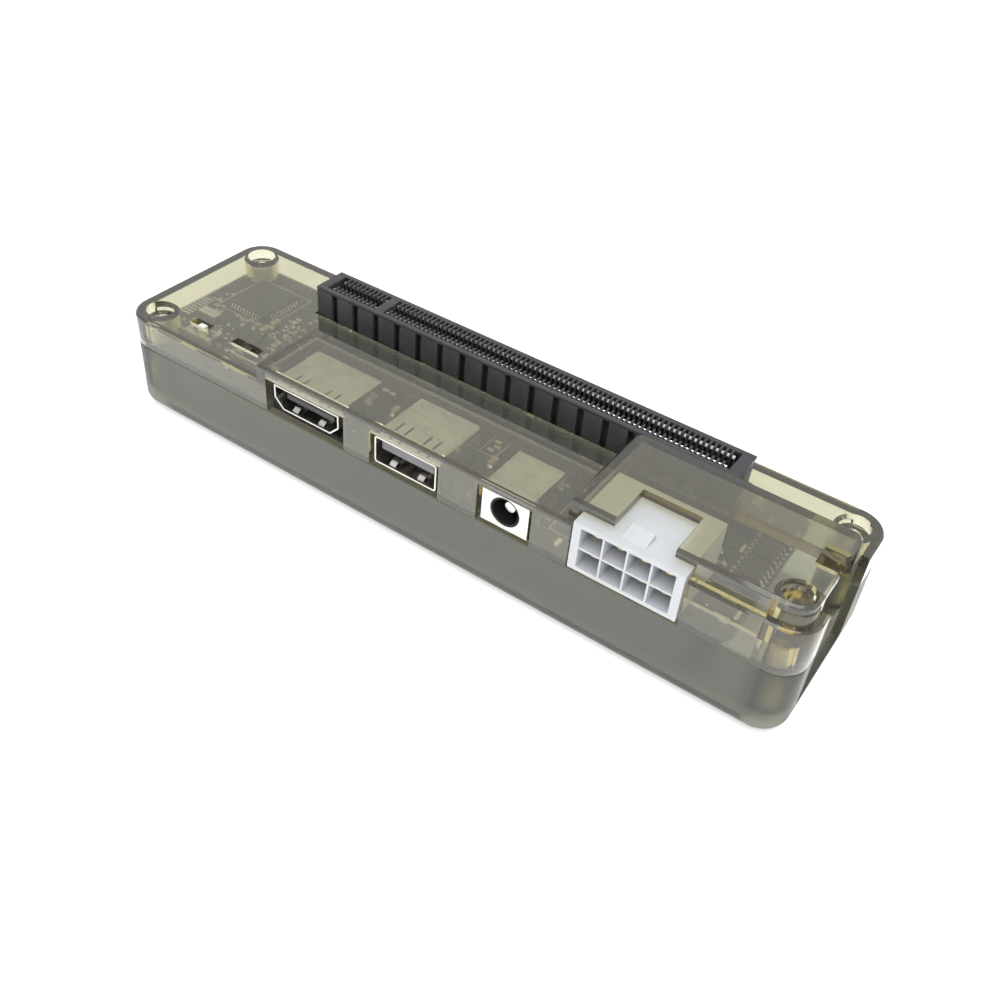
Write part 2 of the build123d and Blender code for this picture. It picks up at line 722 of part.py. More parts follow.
# Eight pin power connector
with BuildPart() as connector_body:
    with BuildSketch(Plane.XZ.offset(-connector_face_y)):
        with Locations((connector_centre_x, board_top_z + connector_height / 2)):
            Rectangle(connector_width, connector_height)
    extrude(amount=-connector_length)
    with BuildSketch(Plane.XZ.offset(-connector_face_y)):
        with Locations((connector_centre_x, board_top_z + connector_height / 2)):
            with GridLocations(cell_pitch, cell_pitch, 4, 2):
                Rectangle(cell_width, cell_width)
    extrude(amount=-cell_depth, mode=Mode.SUBTRACT)
    # Latch ramp on the top
    latch_start_y = connector_face_y + latch_setback
    with BuildSketch(Plane.YZ.offset(connector_centre_x - latch_width / 2)):
        with BuildLine():
            Polyline(
                (latch_start_y, connector_top_z),
                (latch_start_y + latch_length, connector_top_z + latch_height),
                (latch_start_y + latch_length, connector_top_z),
                close=True,
            )
        make_face()
    extrude(amount=latch_width)
put(connector_body, "power_connector_body")

with BuildPart() as connector_pins:
    with BuildSketch(Plane.XZ.offset(-(connector_face_y + cell_depth - pin_length))):
        with Locations((connector_centre_x, board_top_z + connector_height / 2)):
            with GridLocations(cell_pitch, cell_pitch, 4, 2):
                Rectangle(pin_width, pin_width)
    extrude(amount=-pin_length)
put(connector_pins, "power_connector_pins")

# Slide switches: a body on the board and a lever that slides in its top
switches = (
    ("switch_one", switch_one_x, switch_one_travel),
    ("switch_two", switch_two_x, switch_two_travel),
)
lever_top_z = deck_z - lever_below_deck
for name, switch_x, travel in switches:
    with BuildPart() as switch_body:
        with BuildSketch(Plane.XY.offset(board_top_z)):
            with Locations((switch_x, switch_centre_y)):
                Rectangle(switch_body_length, switch_body_width)
        extrude(amount=switch_body_height)
        with BuildSketch(Plane.XY.offset(switch_top_z)):
            with Locations((switch_x, switch_centre_y)):
                Rectangle(lever_length + 2 * travel + 2 * lever_end_gap, lever_width + 2 * lever_clearance)
        extrude(amount=-lever_foot_depth, mode=Mode.SUBTRACT)
        with BuildSketch(Plane.XY.offset(board_top_z)):
            with Locations((switch_x, switch_centre_y + switch_body_width / 2 + switch_leg_reach / 2)):
                with GridLocations(switch_leg_pitch, 0, 3, 1):
                    Rectangle(switch_leg_width, switch_leg_reach)
        extrude(amount=chip_leg_height)
    put(switch_body, name + "_body")
    with BuildPart() as switch_lever:
        with BuildSketch(Plane.XY.offset(switch_top_z - lever_foot_depth + lever_clearance)):
            with Locations((switch_x, switch_centre_y)):
                Rectangle(lever_length, lever_width)
        extrude(amount=lever_top_z - switch_top_z + lever_foot_depth - lever_clearance)
    put(switch_lever, name + "_lever")

# Main chip with leads on four sides
main_chip_x = left_x + main_chip_spot[0]
main_chip_y = half_width - main_chip_spot[1]
with BuildPart() as main_chip:
    with BuildSketch(Plane.XY.offset(board_top_z)):
        with Locations((main_chip_x, main_chip_y)):
            Rectangle(main_chip_size, main_chip_size)
    extrude(amount=main_chip_height)
put(main_chip, "main_chip")

with BuildPart() as main_chip_leads:
    lead_centre = main_chip_size / 2 + chip_leg_reach / 2
    with BuildSketch(Plane.XY.offset(board_top_z)):
        with Locations((main_chip_x, main_chip_y)):
            for lead_side in (-1, 1):
                with Locations((0, lead_side * lead_centre)):
                    with GridLocations(main_lead_pitch, 0, main_lead_count, 1):
                        Rectangle(main_lead_width, chip_leg_reach)
                with Locations((lead_side * lead_centre, 0)):
                    with GridLocations(0, main_lead_pitch, 1, main_lead_count):
                        Rectangle(chip_leg_reach, main_lead_width)
    extrude(amount=chip_leg_height)
put(main_chip_leads, "main_chip_leads")

# Smaller chips
driver_places = on_board(driver_chip_spots) + on_board([connector_chip_spot], connector_left_x)
with BuildPart() as driver_chips:
    with BuildSketch(Plane.XY.offset(board_top_z)):
        with Locations(*driver_places):
            Rectangle(driver_chip_size, driver_chip_size)
    extrude(amount=driver_chip_height)
put(driver_chips, "driver_chips")

memory_chip_place = on_board([memory_chip_spot])[0]
with BuildPart() as memory_chip:
    with BuildSketch(Plane.XY.offset(board_top_z)):
        with Locations(memory_chip_place):
            Rectangle(flash_chip_length, flash_chip_width)
    extrude(amount=flash_chip_height)
    with BuildSketch(Plane.XY.offset(board_top_z)):
        with Locations(memory_chip_place):
            with GridLocations(chip_leg_pitch, flash_chip_width + chip_leg_reach, 4, 2):
                Rectangle(chip_leg_width, chip_leg_reach)
    extrude(amount=chip_leg_height)
put(memory_chip, "memory_chip")

# Power stage under the hump
transistor_places = [
    (half_length - transistor_spot[0], front_y + transistor_spot[1] + i * transistor_pitch)
    for i in range(transistor_count)]
with BuildPart() as power_transistors:
    with BuildSketch(Plane.XY.offset(board_top_z)):
        with Locations(*transistor_places):
            Rectangle(transistor_length, transistor_width)
    extrude(amount=transistor_height)
put(power_transistors, "power_transistors")

with BuildPart() as transistor_leads:
    with BuildSketch(Plane.XY.offset(board_top_z)):
        with Locations(*transistor_places):
            with GridLocations(transistor_length + chip_leg_reach, chip_leg_pitch, 2, 4):
                Rectangle(chip_leg_reach, chip_leg_width)
    extrude(amount=chip_leg_height)
put(transistor_leads, "transistor_leads")

coil_place = (slot_right_x + coil_gap + coil_size / 2, slot_centre_y)
with BuildPart() as power_coil:
    with BuildSketch(Plane.XY.offset(board_top_z)) as coil_outline:
        with Locations(coil_place):
            Rectangle(coil_size, coil_size)
        chamfer(coil_outline.vertices(), coil_corner)
    extrude(amount=coil_height)
    with BuildSketch(Plane.XY.offset(board_top_z + coil_cap_thickness)):
        with Locations(coil_place):
            Rectangle(coil_size + cut_margin, coil_size + cut_margin)
            RegularPolygon(coil_size / 2 - coil_waist, 8, major_radius=False, mode=Mode.SUBTRACT)
    extrude(amount=coil_height - 2 * coil_cap_thickness, mode=Mode.SUBTRACT)
put(power_coil, "power_coil")

can_places = on_board(can_spots, half_length)
with BuildPart() as capacitor_cans:
    with BuildSketch(Plane.XY.offset(board_top_z)):
        with Locations(*can_places):
            Rectangle(can_diameter, can_diameter)
    extrude(amount=can_base)
    with BuildSketch(Plane.XY.offset(board_top_z + can_base)):
        with Locations(*can_places):
            Circle(can_diameter / 2)
    extrude(amount=can_height - can_base)
put(capacitor_cans, "capacitor_cans")

with BuildPart() as crystal:
    with BuildSketch(Plane.XY.offset(board_top_z)):
        with Locations(*on_board([crystal_spot])):
            Rectangle(crystal_length, crystal_width)
    extrude(amount=crystal_height)
put(crystal, "crystal")

# Small parts
with BuildPart() as resistors:
    with BuildSketch(Plane.XY.offset(board_top_z)):
        with Locations(*on_board(resistor_spots), *on_board(right_resistor_spots, half_length)):
            Rectangle(small_length, small_width)
    extrude(amount=small_height)
put(resistors, "resistors")

back_ceramic_place = (half_length - back_ceramic_spot[0], half_width - back_ceramic_spot[1])
with BuildPart() as ceramic_capacitors:
    with BuildSketch(Plane.XY.offset(board_top_z)):
        with Locations(*on_board(ceramic_spots), *on_board(right_ceramic_spots, half_length),
                       back_ceramic_place):
            Rectangle(cap_width, cap_length)
    extrude(amount=cap_height)
put(ceramic_capacitors, "ceramic_capacitors")

with BuildPart() as status_lamps:
    with BuildSketch(Plane.XY.offset(board_top_z)):
        with Locations(*on_board([lamp_spot]), *on_board([connector_lamp_spot], connector_left_x)):
            Rectangle(lamp_width, lamp_length)
    extrude(amount=lamp_height)
put(status_lamps, "status_lamps")

with BuildPart() as edge_pads:
    with BuildSketch(Plane.XY.offset(board_top_z)):
        with Locations((board_left_x + edge_pad_inset + edge_pad_length / 2, front_y + edge_pad_setback)):
            with GridLocations(0, edge_pad_pitch, 1, edge_pad_count):
                Rectangle(edge_pad_length, edge_pad_width)
    extrude(amount=edge_pad_height)
put(edge_pads, "edge_pads")
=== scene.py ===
"""Looks of an external graphics card dock: finishes, small parts on its board, studio and camera.

All lengths are in metres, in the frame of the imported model: +X to the power connector end,
-Y to the port side, +Z up, with the origin under the middle of the case.
"""

import logging
import math
from dataclasses import dataclass
from enum import Enum
from typing import Sequence

import bpy
import numpy as np
from mathutils import Matrix, Vector


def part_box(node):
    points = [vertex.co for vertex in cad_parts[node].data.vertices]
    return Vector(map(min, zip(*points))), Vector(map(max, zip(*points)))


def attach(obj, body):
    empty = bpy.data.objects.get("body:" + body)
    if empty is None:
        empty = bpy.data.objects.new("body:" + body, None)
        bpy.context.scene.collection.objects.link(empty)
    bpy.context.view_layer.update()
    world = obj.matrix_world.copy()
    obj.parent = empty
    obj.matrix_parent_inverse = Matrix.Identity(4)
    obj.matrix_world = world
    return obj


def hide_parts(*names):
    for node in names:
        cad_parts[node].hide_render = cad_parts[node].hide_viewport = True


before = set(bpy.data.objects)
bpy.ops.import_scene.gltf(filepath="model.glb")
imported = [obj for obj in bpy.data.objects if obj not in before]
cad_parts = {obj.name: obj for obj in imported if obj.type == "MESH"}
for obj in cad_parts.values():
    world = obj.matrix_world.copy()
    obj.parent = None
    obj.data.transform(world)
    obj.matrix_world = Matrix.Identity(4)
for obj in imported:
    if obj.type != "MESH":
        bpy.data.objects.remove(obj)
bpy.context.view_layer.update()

MM = 0.001
CASE = "case"
SHARP = math.radians(40)

log = logging.getLogger("dock")


class Slot(str, Enum):
    """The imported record's material slots that the new pieces stand for."""

    BLACK = "black_plastic"
    WHITE = "white_plastic"
    CHIP = "chip_plastic"
    CERAMIC = "ceramic"
    CONTACT = "contact_metal"
    PLATED = "plated_steel"


class Form:
    """A closed shape made of rings of points, each ring joined to the next and both ends capped."""

    def __init__(self, rings: np.ndarray) -> None:
        """Keep the rings.

        Args:
            rings: points in metres, shaped (rows, points in a ring, 3).
        """
        self.rings = rings

    @classmethod
    def block(cls, size: Sequence[float], corner: float = 0.1 * MM, ease: float = 0.05 * MM,
              steps: int = 2) -> "Form":
        """Make an upright block that stands on z = 0, with rounded corners and eased edges.

        A ring's points are the four corner centres plus r (cos u, sin u), by an angle u. Near the
        bottom the rings rise by ease (1 - cos v) while r is the corner less ease (1 - sin v), for v
        from 0 to a quarter turn, and the top mirrors it. r stays above 2% of the corner.

        Args:
            size: width in X, depth in Y and height in Z.
            corner: radius of the upright corners.
            ease: radius of the top and bottom edges.
            steps: parts of each quarter turn.

        Returns:
            The block.
        """
        width, depth, height = size
        quarter = np.linspace(0, np.pi / 2, steps + 1)
        u = (quarter[None, :] + np.arange(4)[:, None] * np.pi / 2).ravel()
        side = np.repeat(np.array([[1, 1], [-1, 1], [-1, -1], [1, -1]]), steps + 1, axis=0)
        lift, pull = ease * (1 - np.cos(quarter)), ease * (1 - np.sin(quarter))
        rise = np.concatenate([lift, height - lift[::-1]])
        inset = np.concatenate([pull, pull[::-1]])
        radius = np.maximum(corner - inset, 0.02 * corner)[:, None]
        x = side[:, 0] * (width / 2 - corner) + radius * np.cos(u)
        y = side[:, 1] * (depth / 2 - corner) + radius * np.sin(u)
        return cls(np.stack([x, y, np.broadcast_to(rise[:, None], x.shape)], axis=-1))

    @classmethod
    def disc(cls, radius: float, height: float, steps: int = 8) -> "Form":
        """Make an upright round stub on z = 0, whose top edge is drawn in by a tenth.

        A ring's points are r (cos u, sin u), by an angle u, with one ring for each of three levels.

        Args:
            radius: radius at the foot.
            height: size in Z.
            steps: points in each quarter turn.

        Returns:
            The stub.
        """
        u = np.linspace(0, 2 * np.pi, 4 * steps, endpoint=False)
        level = np.array([0, 0.8, 1.0]) * height
        inset = radius * np.array([1.0, 1.0, 0.9])
        x, y = (inset[:, None] * wave(u)[None, :] for wave in (np.cos, np.sin))
        return cls(np.stack([x, y, np.broadcast_to(level[:, None], x.shape)], axis=-1))

    @classmethod
    def strip(cls, path: Sequence[tuple[float, float]], width: float, thickness: float) -> "Form":
        """Bend a flat strip along a path in X and Z, its width along Y.

        Each leg of the path is cut in four, and each inner point p becomes (before + 2 p + after) / 4,
        which rounds the bends. At each point the four corners lie half the width to either side and
        half the thickness along the path's normal.

        Args:
            path: corners of the path as (x, z).
            width: size along Y.
            thickness: size across the path.

        Returns:
            The strip.
        """
        corners = np.array(path)
        knots = np.arange(len(corners))
        t = np.linspace(0, knots[-1], 4 * knots[-1] + 1)
        line = np.stack([np.interp(t, knots, corners[:, i]) for i in (0, 1)], axis=1)
        padded = np.concatenate([line[:1], line, line[-1:]])
        line[1:-1] = (padded[:-2] + 2 * padded[1:-1] + padded[2:])[1:-1] / 4
        along = np.gradient(line, axis=0)
        along /= np.linalg.norm(along, axis=1, keepdims=True)
        normal = np.stack([-along[:, 1], along[:, 0]], axis=1) * thickness / 2
        across = np.array([-1, 1, 1, -1]) * width / 2
        up = np.array([-1, -1, 1, 1])
        x = line[:, :1] + normal[:, :1] * up
        z = line[:, 1:] + normal[:, 1:] * up
        return cls(np.stack([x, np.broadcast_to(across, x.shape), z], axis=-1))

    def faces(self) -> tuple[np.ndarray, np.ndarray]:
        """Join each ring to the next and cap both ends.

        Returns:
            The side faces and the two caps, as point numbers of one copy.
        """
        rows, ring = self.rings.shape[:2]
        here = np.arange(rows * ring).reshape(rows, ring)
        after = np.roll(here, -1, axis=1)
        sides = np.stack([here[:-1], after[:-1], after[1:], here[1:]], axis=-1).reshape(-1, 4)
        return sides, np.stack([here[0][::-1], here[-1]])


class Piece:
    """One object of the visual model, made of copies of forms."""

    def __init__(self, name: str, slot: Slot, body: str = CASE) -> None:
        """Start an empty piece.

        Args:
            name: the object's name.
            slot: the record's material slot that it stands for; kept, but not used.
            body: the CAD body that it rides on.
        """
        self.name, self.slot, self.body = name, slot, body
        self.points: list[np.ndarray] = []
        self.faces: list[list[int]] = []
        self.numbers: list[int] = []
        self.finishes: list["Finish"] = []
        self.count = 0

    def add(self, form: Form, places: np.ndarray, finish: "Finish",
            turns: np.ndarray | float = 0.0) -> None:
        """Put a copy of the form at each place.

        Args:
            form: the shape.
            places: one row of x, y, z in metres for each copy.
            finish: the finish of these copies.
            turns: angle about Z in radians, one for all or one for each copy.
        """
        places = np.atleast_2d(np.asarray(places, float))
        turns = np.broadcast_to(np.asarray(turns, float), (len(places),))
        flat = form.rings.reshape(-1, 3)
        cos, sin = np.cos(turns)[:, None], np.sin(turns)[:, None]
        x = flat[:, 0] * cos - flat[:, 1] * sin
        y = flat[:, 0] * sin + flat[:, 1] * cos
        z = np.broadcast_to(flat[:, 2], x.shape)
        self.points.append((np.stack([x, y, z], axis=-1) + places[:, None, :]).reshape(-1, 3))
        first = self.count + np.arange(len(places)) * len(flat)
        if finish not in self.finishes:
            self.finishes.append(finish)
        for part in form.faces():
            self.faces += (part[None] + first[:, None, None]).reshape(-1, part.shape[1]).tolist()
            self.numbers += [self.finishes.index(finish)] * (len(part) * len(places))
        self.count += len(flat) * len(places)

    def build(self, replaced: Sequence[str] = ()) -> bpy.types.Object:
        """Make the object, let it ride and hide the CAD nodes that it stands for.

        Args:
            replaced: CAD nodes that this piece stands for.

        Returns:
            The new object, at the origin.
        """
        mesh = bpy.data.meshes.new(self.name)
        mesh.from_pydata(np.concatenate(self.points).tolist(), [], self.faces)
        for finish in self.finishes:
            mesh.materials.append(finish.material())
        mesh.polygons.foreach_set("material_index", self.numbers)
        mesh.polygons.foreach_set("use_smooth", [True] * len(mesh.polygons))
        mesh.set_sharp_from_angle(angle=SHARP)
        mesh.update()
        made = bpy.data.objects.new(self.name, mesh)
        bpy.context.scene.collection.objects.link(made)
        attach(made, self.body)
        if replaced:
            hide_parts(*replaced)
        log.info("%s: %d faces", self.name, len(mesh.polygons))
        return made


def solids_of(node: str) -> np.ndarray:
    """Find the separate solids of a CAD node.

    Each point takes the lowest number that a joined point has, until nothing changes.

    Args:
        node: the node's name.

    Returns:
        Lowest and highest corner of each solid, shaped (solids, 2, 3), in metres.
    """
    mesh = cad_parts[node].data
    points = np.empty(len(mesh.vertices) * 3, np.float32)
    mesh.vertices.foreach_get("co", points)
    spots, same = np.unique(np.round(points.reshape(-1, 3), 6), axis=0, return_inverse=True)
    edges = np.empty(len(mesh.edges) * 2, np.int32)
    mesh.edges.foreach_get("vertices", edges)
    start, end = same.ravel()[edges.reshape(-1, 2)].T
    label = np.arange(len(spots))
    while True:
        lower = label.copy()
        np.minimum.at(lower, start, label[end])
        np.minimum.at(lower, end, label[start])
        lower = lower[lower]
        if np.array_equal(lower, label):
            break
        label = lower
    found = [spots[label == number] for number in np.unique(label)]
    return np.array([[part.min(0), part.max(0)] for part in found])


def feet(solids: np.ndarray) -> np.ndarray:
    """Return the middle of each solid's underside."""
    return np.concatenate([solids.mean(axis=1)[:, :2], solids[:, 0, 2:]], axis=1)


class Graph:
    """One material's nodes, built with short calls."""

    def __init__(self, name: str) -> None:
        """Start an empty material.

        Args:
            name: the material's name.
        """
        self.material = bpy.data.materials.new(name)
        self.material.use_nodes = True
        self.tree = self.material.node_tree
        self.tree.nodes.clear()
        self.output = self.tree.nodes.new("ShaderNodeOutputMaterial")

    def add(self, kind: str, values: dict | None = None, **settings: object) -> bpy.types.Node:
        """Add a node, with plain values or sockets for its inputs.

        Args:
            kind: the node's Blender type.
            values: input name or number to a plain value or an output socket.
            settings: attributes of the node itself.

        Returns:
            The new node.
        """
        node = self.tree.nodes.new(kind)
        for key, value in settings.items():
            setattr(node, key, value)
        for key, value in (values or {}).items():
            if isinstance(value, bpy.types.NodeSocket):
                self.tree.links.new(value, node.inputs[key])
            else:
                node.inputs[key].default_value = value
        return node

    def place(self) -> bpy.types.NodeSocket:
        """Return the object coordinates."""
        return self.add("ShaderNodeTexCoord").outputs["Object"]

    def noise(self, grain: float, detail: float = 3.0, rough: float = 0.55,
              vector: bpy.types.NodeSocket | None = None) -> bpy.types.NodeSocket:
        """Return a noise value whose blotches are about one grain wide.

        Args:
            grain: width of a blotch in metres.
            detail: number of finer octaves.
            rough: weight of the finer octaves.
            vector: coordinates, or None for the object's own.

        Returns:
            The noise's value.
        """
        values = {"Vector": vector or self.place(), "Scale": 1 / grain, "Detail": detail,
                  "Roughness": rough}
        return self.add("ShaderNodeTexNoise", values).outputs["Fac"]

    def span(self, value: bpy.types.NodeSocket, low: float, high: float,
             start: float = 0.3, end: float = 0.7) -> bpy.types.NodeSocket:
        """Map a value from the stretch start to end onto low to high."""
        values = {"Value": value, "From Min": start, "From Max": end, "To Min": low, "To Max": high}
        return self.add("ShaderNodeMapRange", values).outputs["Result"]

    def tint(self, fac: bpy.types.NodeSocket, first: Sequence[float],
             second: Sequence[float]) -> bpy.types.NodeSocket:
        """Mix two colours by a value.

        Args:
            fac: the value, 0 for the first colour and 1 for the second.
            first: one colour.
            second: the other colour.

        Returns:
            The mixed colour.
        """
        node = self.add("ShaderNodeMix", data_type="RGBA")
        self.tree.links.new(fac, node.inputs[0])
        node.inputs[6].default_value = (*first, 1)
        node.inputs[7].default_value = (*second, 1)
        return node.outputs[2]

    def bump(self, height: bpy.types.NodeSocket, depth: float) -> bpy.types.NodeSocket:
        """Return a normal that rises by depth metres where height is 1."""
        values = {"Height": height, "Distance": depth, "Strength": 1.0}
        return self.add("ShaderNodeBump", values).outputs["Normal"]

    def finish(self, surface: bpy.types.NodeSocket) -> bpy.types.Material:
        """Link the surface to the output and return the material."""
        self.tree.links.new(surface, self.output.inputs["Surface"])
        return self.material


@dataclass(frozen=True)
class Finish:
    """A surface finish. Its material is made once and then shared."""

    name: str

    def shade(self, graph: Graph) -> bpy.types.NodeSocket:
        """Build the nodes and return the surface."""
        raise NotImplementedError

    def material(self) -> bpy.types.Material:
        """Find the material, or make it on first use.

        Returns:
            The finish's one material.
        """
        found = bpy.data.materials.get(self.name)
        if found is None:
            graph = Graph(self.name)
            found = graph.finish(self.shade(graph))
        return found


@dataclass(frozen=True)
class SmokedPlastic(Finish):
    """Clear smoked polycarbonate. Light that goes further through it comes out darker and browner."""

    roughness: float
    clear: float
    film: tuple[float, float, float]
    ior: float = 1.58
    passed: tuple[float, float, float] = (0.56, 0.48, 0.06)
    density: float = 290.0
    coat: float = 0.3
    coat_roughness: float = 0.02
    coat_ior: float = 1.5
    lamp_film: tuple[float, float, float] = (0.85, 0.84, 0.78)
    orange_peel: float = 0.002 * MM
    swell_grain: float = 7 * MM
    smear_grain: float = 2.5 * MM

    def shade(self, graph: Graph) -> bpy.types.NodeSocket:
        """Build clear glass with an absorbing body, which shadow and diffuse rays pass straight through.

        Args:
            graph: the material's nodes.

        Returns:
            The surface.
        """
        swell = graph.noise(self.swell_grain, 1.0, 0.4)
        smear = graph.noise(self.smear_grain, 2.0)
        glass = graph.add("ShaderNodeBsdfPrincipled", {
            "Base Color": (*self.film, 1),
            "IOR": self.ior,
            "Roughness": graph.span(smear, self.roughness * 0.8, self.roughness * 1.2),
            "Normal": graph.bump(swell, self.orange_peel),
            "Transmission Weight": self.clear,
            "Coat Weight": self.coat,
            "Coat Roughness": self.coat_roughness,
            "Coat IOR": self.coat_ior,
        })
        clear = graph.add("ShaderNodeBsdfTransparent", {"Color": (*self.lamp_film, 1)})
        rays = graph.add("ShaderNodeLightPath").outputs
        lamp = graph.add("ShaderNodeMath", {0: rays["Is Shadow Ray"], 1: rays["Is Diffuse Ray"]},
                         operation="MAXIMUM")
        ends = {0: lamp.outputs[0], 1: glass.outputs[0], 2: clear.outputs[0]}
        mix = graph.add("ShaderNodeMixShader", ends)
        body = graph.add("ShaderNodeVolumeAbsorption",
                         {"Color": (*self.passed, 1), "Density": self.density})
        graph.tree.links.new(body.outputs[0], graph.output.inputs["Volume"])
        return mix.outputs[0]


@dataclass(frozen=True)
class Moulding(Finish):
    """Filled or satin plastic with a fine grain."""

    colour: tuple[float, float, float] = (0.035, 0.036, 0.039)
    second: tuple[float, float, float] = (0.05, 0.051, 0.054)
    roughness: float = 0.42
    grain: float = 0.35 * MM
    depth: float = 0.012 * MM
    glow: float = 0.0

    def shade(self, graph: Graph) -> bpy.types.NodeSocket:
        """Build a grained plastic, with some light inside it where glow isn't 0.

        Args:
            graph: the material's nodes.

        Returns:
            The surface.
        """
        fine = graph.noise(self.grain, 4.0)
        broad = graph.noise(self.grain * 14, 2.0)
        values = {
            "Base Color": graph.tint(graph.span(broad, 0, 1), self.colour, self.second),
            "Roughness": graph.span(fine, self.roughness - 0.06, self.roughness + 0.08),
            "Normal": graph.bump(fine, self.depth),
            "IOR": 1.5,
            "Subsurface Weight": self.glow,
            "Subsurface Scale": 0.6 * MM,
        }
        return graph.add("ShaderNodeBsdfPrincipled", values).outputs[0]


@dataclass(frozen=True)
class Plating(Finish):
    """Thin bright metal over steel or copper, with faint rolling marks."""

    colour: tuple[float, float, float] = (0.80, 0.79, 0.76)
    dull: tuple[float, float, float] = (0.62, 0.61, 0.58)
    roughness: float = 0.2
    mark: float = 0.5 * MM

    def shade(self, graph: Graph) -> bpy.types.NodeSocket:
        """Build a metal whose marks are drawn out along X.

        Args:
            graph: the material's nodes.

        Returns:
            The surface.
        """
        stretched = graph.add("ShaderNodeMapping", {"Vector": graph.place(), "Scale": (0.12, 1.0, 1.0)})
        marks = graph.noise(self.mark, 4.0, 0.6, stretched.outputs[0])
        clouds = graph.noise(self.mark * 7, 2.0)
        values = {
            "Base Color": graph.tint(graph.span(clouds, 0, 1, 0.35, 0.75), self.colour, self.dull),
            "Metallic": 1.0,
            "Roughness": graph.span(marks, self.roughness - 0.05, self.roughness + 0.09),
            "Normal": graph.bump(marks, 0.004 * MM),
        }
        return graph.add("ShaderNodeBsdfPrincipled", values).outputs[0]


@dataclass(frozen=True)
class SolderMask(Finish):
    """Black lacquer over the board's copper, whose lines show as faint ridges."""

    colour: tuple[float, float, float] = (0.022, 0.024, 0.024)
    copper: tuple[float, float, float] = (0.045, 0.047, 0.044)
    line_pitch: float = 1.3 * MM
    band_turn: float = 6.28
    patch_grain: float = 6 * MM
    lacquer_grain: float = 0.6 * MM

    def shade(self, graph: Graph) -> bpy.types.NodeSocket:
        """Build patches of slanting, wandering copper lines under gloss lacquer.

        Args:
            graph: the material's nodes.

        Returns:
            The surface.
        """
        place = graph.place()
        patches = graph.noise(self.patch_grain, 1.0, 0.4, place)
        wave = graph.add("ShaderNodeTexWave", {
            "Vector": place, "Scale": 1 / self.line_pitch / self.band_turn, "Distortion": 5.0,
            "Detail": 0.0, "Detail Scale": 0.4,
        }, bands_direction="DIAGONAL")
        lines = graph.span(wave.outputs["Fac"], 0, 1, 0.72, 0.8)
        here = graph.span(patches, 0, 1, 0.45, 0.5)
        both = graph.add("ShaderNodeMath", {0: lines, 1: here}, operation="MULTIPLY").outputs[0]
        values = {
            "Base Color": graph.tint(both, self.colour, self.copper),
            "Roughness": graph.span(graph.noise(self.lacquer_grain), 0.24, 0.36),
            "Normal": graph.bump(both, 0.02 * MM),
            "IOR": 1.52,
        }
        return graph.add("ShaderNodeBsdfPrincipled", values).outputs[0]


@dataclass(frozen=True)
class FloorPaper(Finish):
    """Plain white paper roll."""

    colour: tuple[float, float, float] = (0.93, 0.93, 0.93)
    glow: float = 0.45
    cloud_grain: float = 0.25
    cloud_share: float = 0.985

    def shade(self, graph: Graph) -> bpy.types.NodeSocket:
        """Build a matt white with a very faint cloud and a little light of its own.

        Args:
            graph: the material's nodes.

        Returns:
            The surface.
        """
        cloud = graph.noise(self.cloud_grain, 1.0)
        low = tuple(c * self.cloud_share for c in self.colour)
        values = {
            "Base Color": graph.tint(cloud, self.colour, low),
            "Roughness": 0.9,
            "Specular IOR Level": 0.0,
            "Emission Color": (1, 1, 1, 1),
            "Emission Strength": self.glow,
        }
        return graph.add("ShaderNodeBsdfPrincipled", values).outputs[0]


COVER = SmokedPlastic("smoked_cover", roughness=0.05, clear=0.96, film=(0.95, 0.975, 0.995))
# Hazy smoked plastic for the lower shell. Its haze and smoke tint are its own, but its much darker film
# and dim lamp film are painted shade: they stand for the unlit cavity and the shaded floor under the
# case.
LOWER_SHELL_SHADED = SmokedPlastic("smoked_lower_shell_shaded", roughness=0.42, clear=0.95, film=(0.57, 0.615, 0.66),
                      lamp_film=(0.4, 0.4, 0.37), orange_peel=0.0, coat=0.0)
SLOT_PLASTIC = Moulding("slot_plastic", colour=(0.04, 0.042, 0.047), second=(0.055, 0.058, 0.063))
# Near-black copy of the slot plastic: painted shade for the slot's grooves, windows and channel, and for
# the power jack's bore.
PAINTED_SHADE_BLACK = Moulding("painted_shade_black", colour=(0.006, 0.006, 0.008), second=(0.01, 0.01, 0.012),
                     roughness=0.6)
TONGUE_PLASTIC = Moulding("tongue_plastic", colour=(0.16, 0.16, 0.18), second=(0.2, 0.2, 0.22))
LEVER_WHITE = Moulding("lever_white", colour=(0.82, 0.82, 0.8), second=(0.76, 0.76, 0.74), glow=0.2)
LEVER_BLACK = Moulding("lever_black", colour=(0.03, 0.03, 0.03), second=(0.04, 0.04, 0.04))
NYLON = Moulding("nylon_moulding", colour=(0.60, 0.63, 0.66), second=(0.56, 0.585, 0.61),
                 roughness=0.34, glow=0.4)
EPOXY = Moulding("chip_epoxy", colour=(0.028, 0.028, 0.03), second=(0.04, 0.04, 0.042), roughness=0.5)
INK = Moulding("white_ink", colour=(0.62, 0.62, 0.58), second=(0.5, 0.5, 0.47), roughness=0.6)
ALUMINA = Moulding("alumina", colour=(0.7, 0.7, 0.66), second=(0.6, 0.6, 0.57), roughness=0.5)
GLAZE = Moulding("black_glaze", colour=(0.02, 0.02, 0.022), second=(0.03, 0.03, 0.03), roughness=0.25)
CERAMIC = Moulding("fired_ceramic", colour=(0.42, 0.33, 0.22), second=(0.33, 0.25, 0.17), roughness=0.45)
NICKEL = Plating("nickel_plate", colour=(0.79, 0.775, 0.74), dull=(0.62, 0.605, 0.57))
TIN = Plating("bright_tin", colour=(0.86, 0.86, 0.84), dull=(0.7, 0.7, 0.68), roughness=0.26)
GOLD = Plating("thin_gold", colour=(0.93, 0.83, 0.58), dull=(0.84, 0.7, 0.42), roughness=0.24)
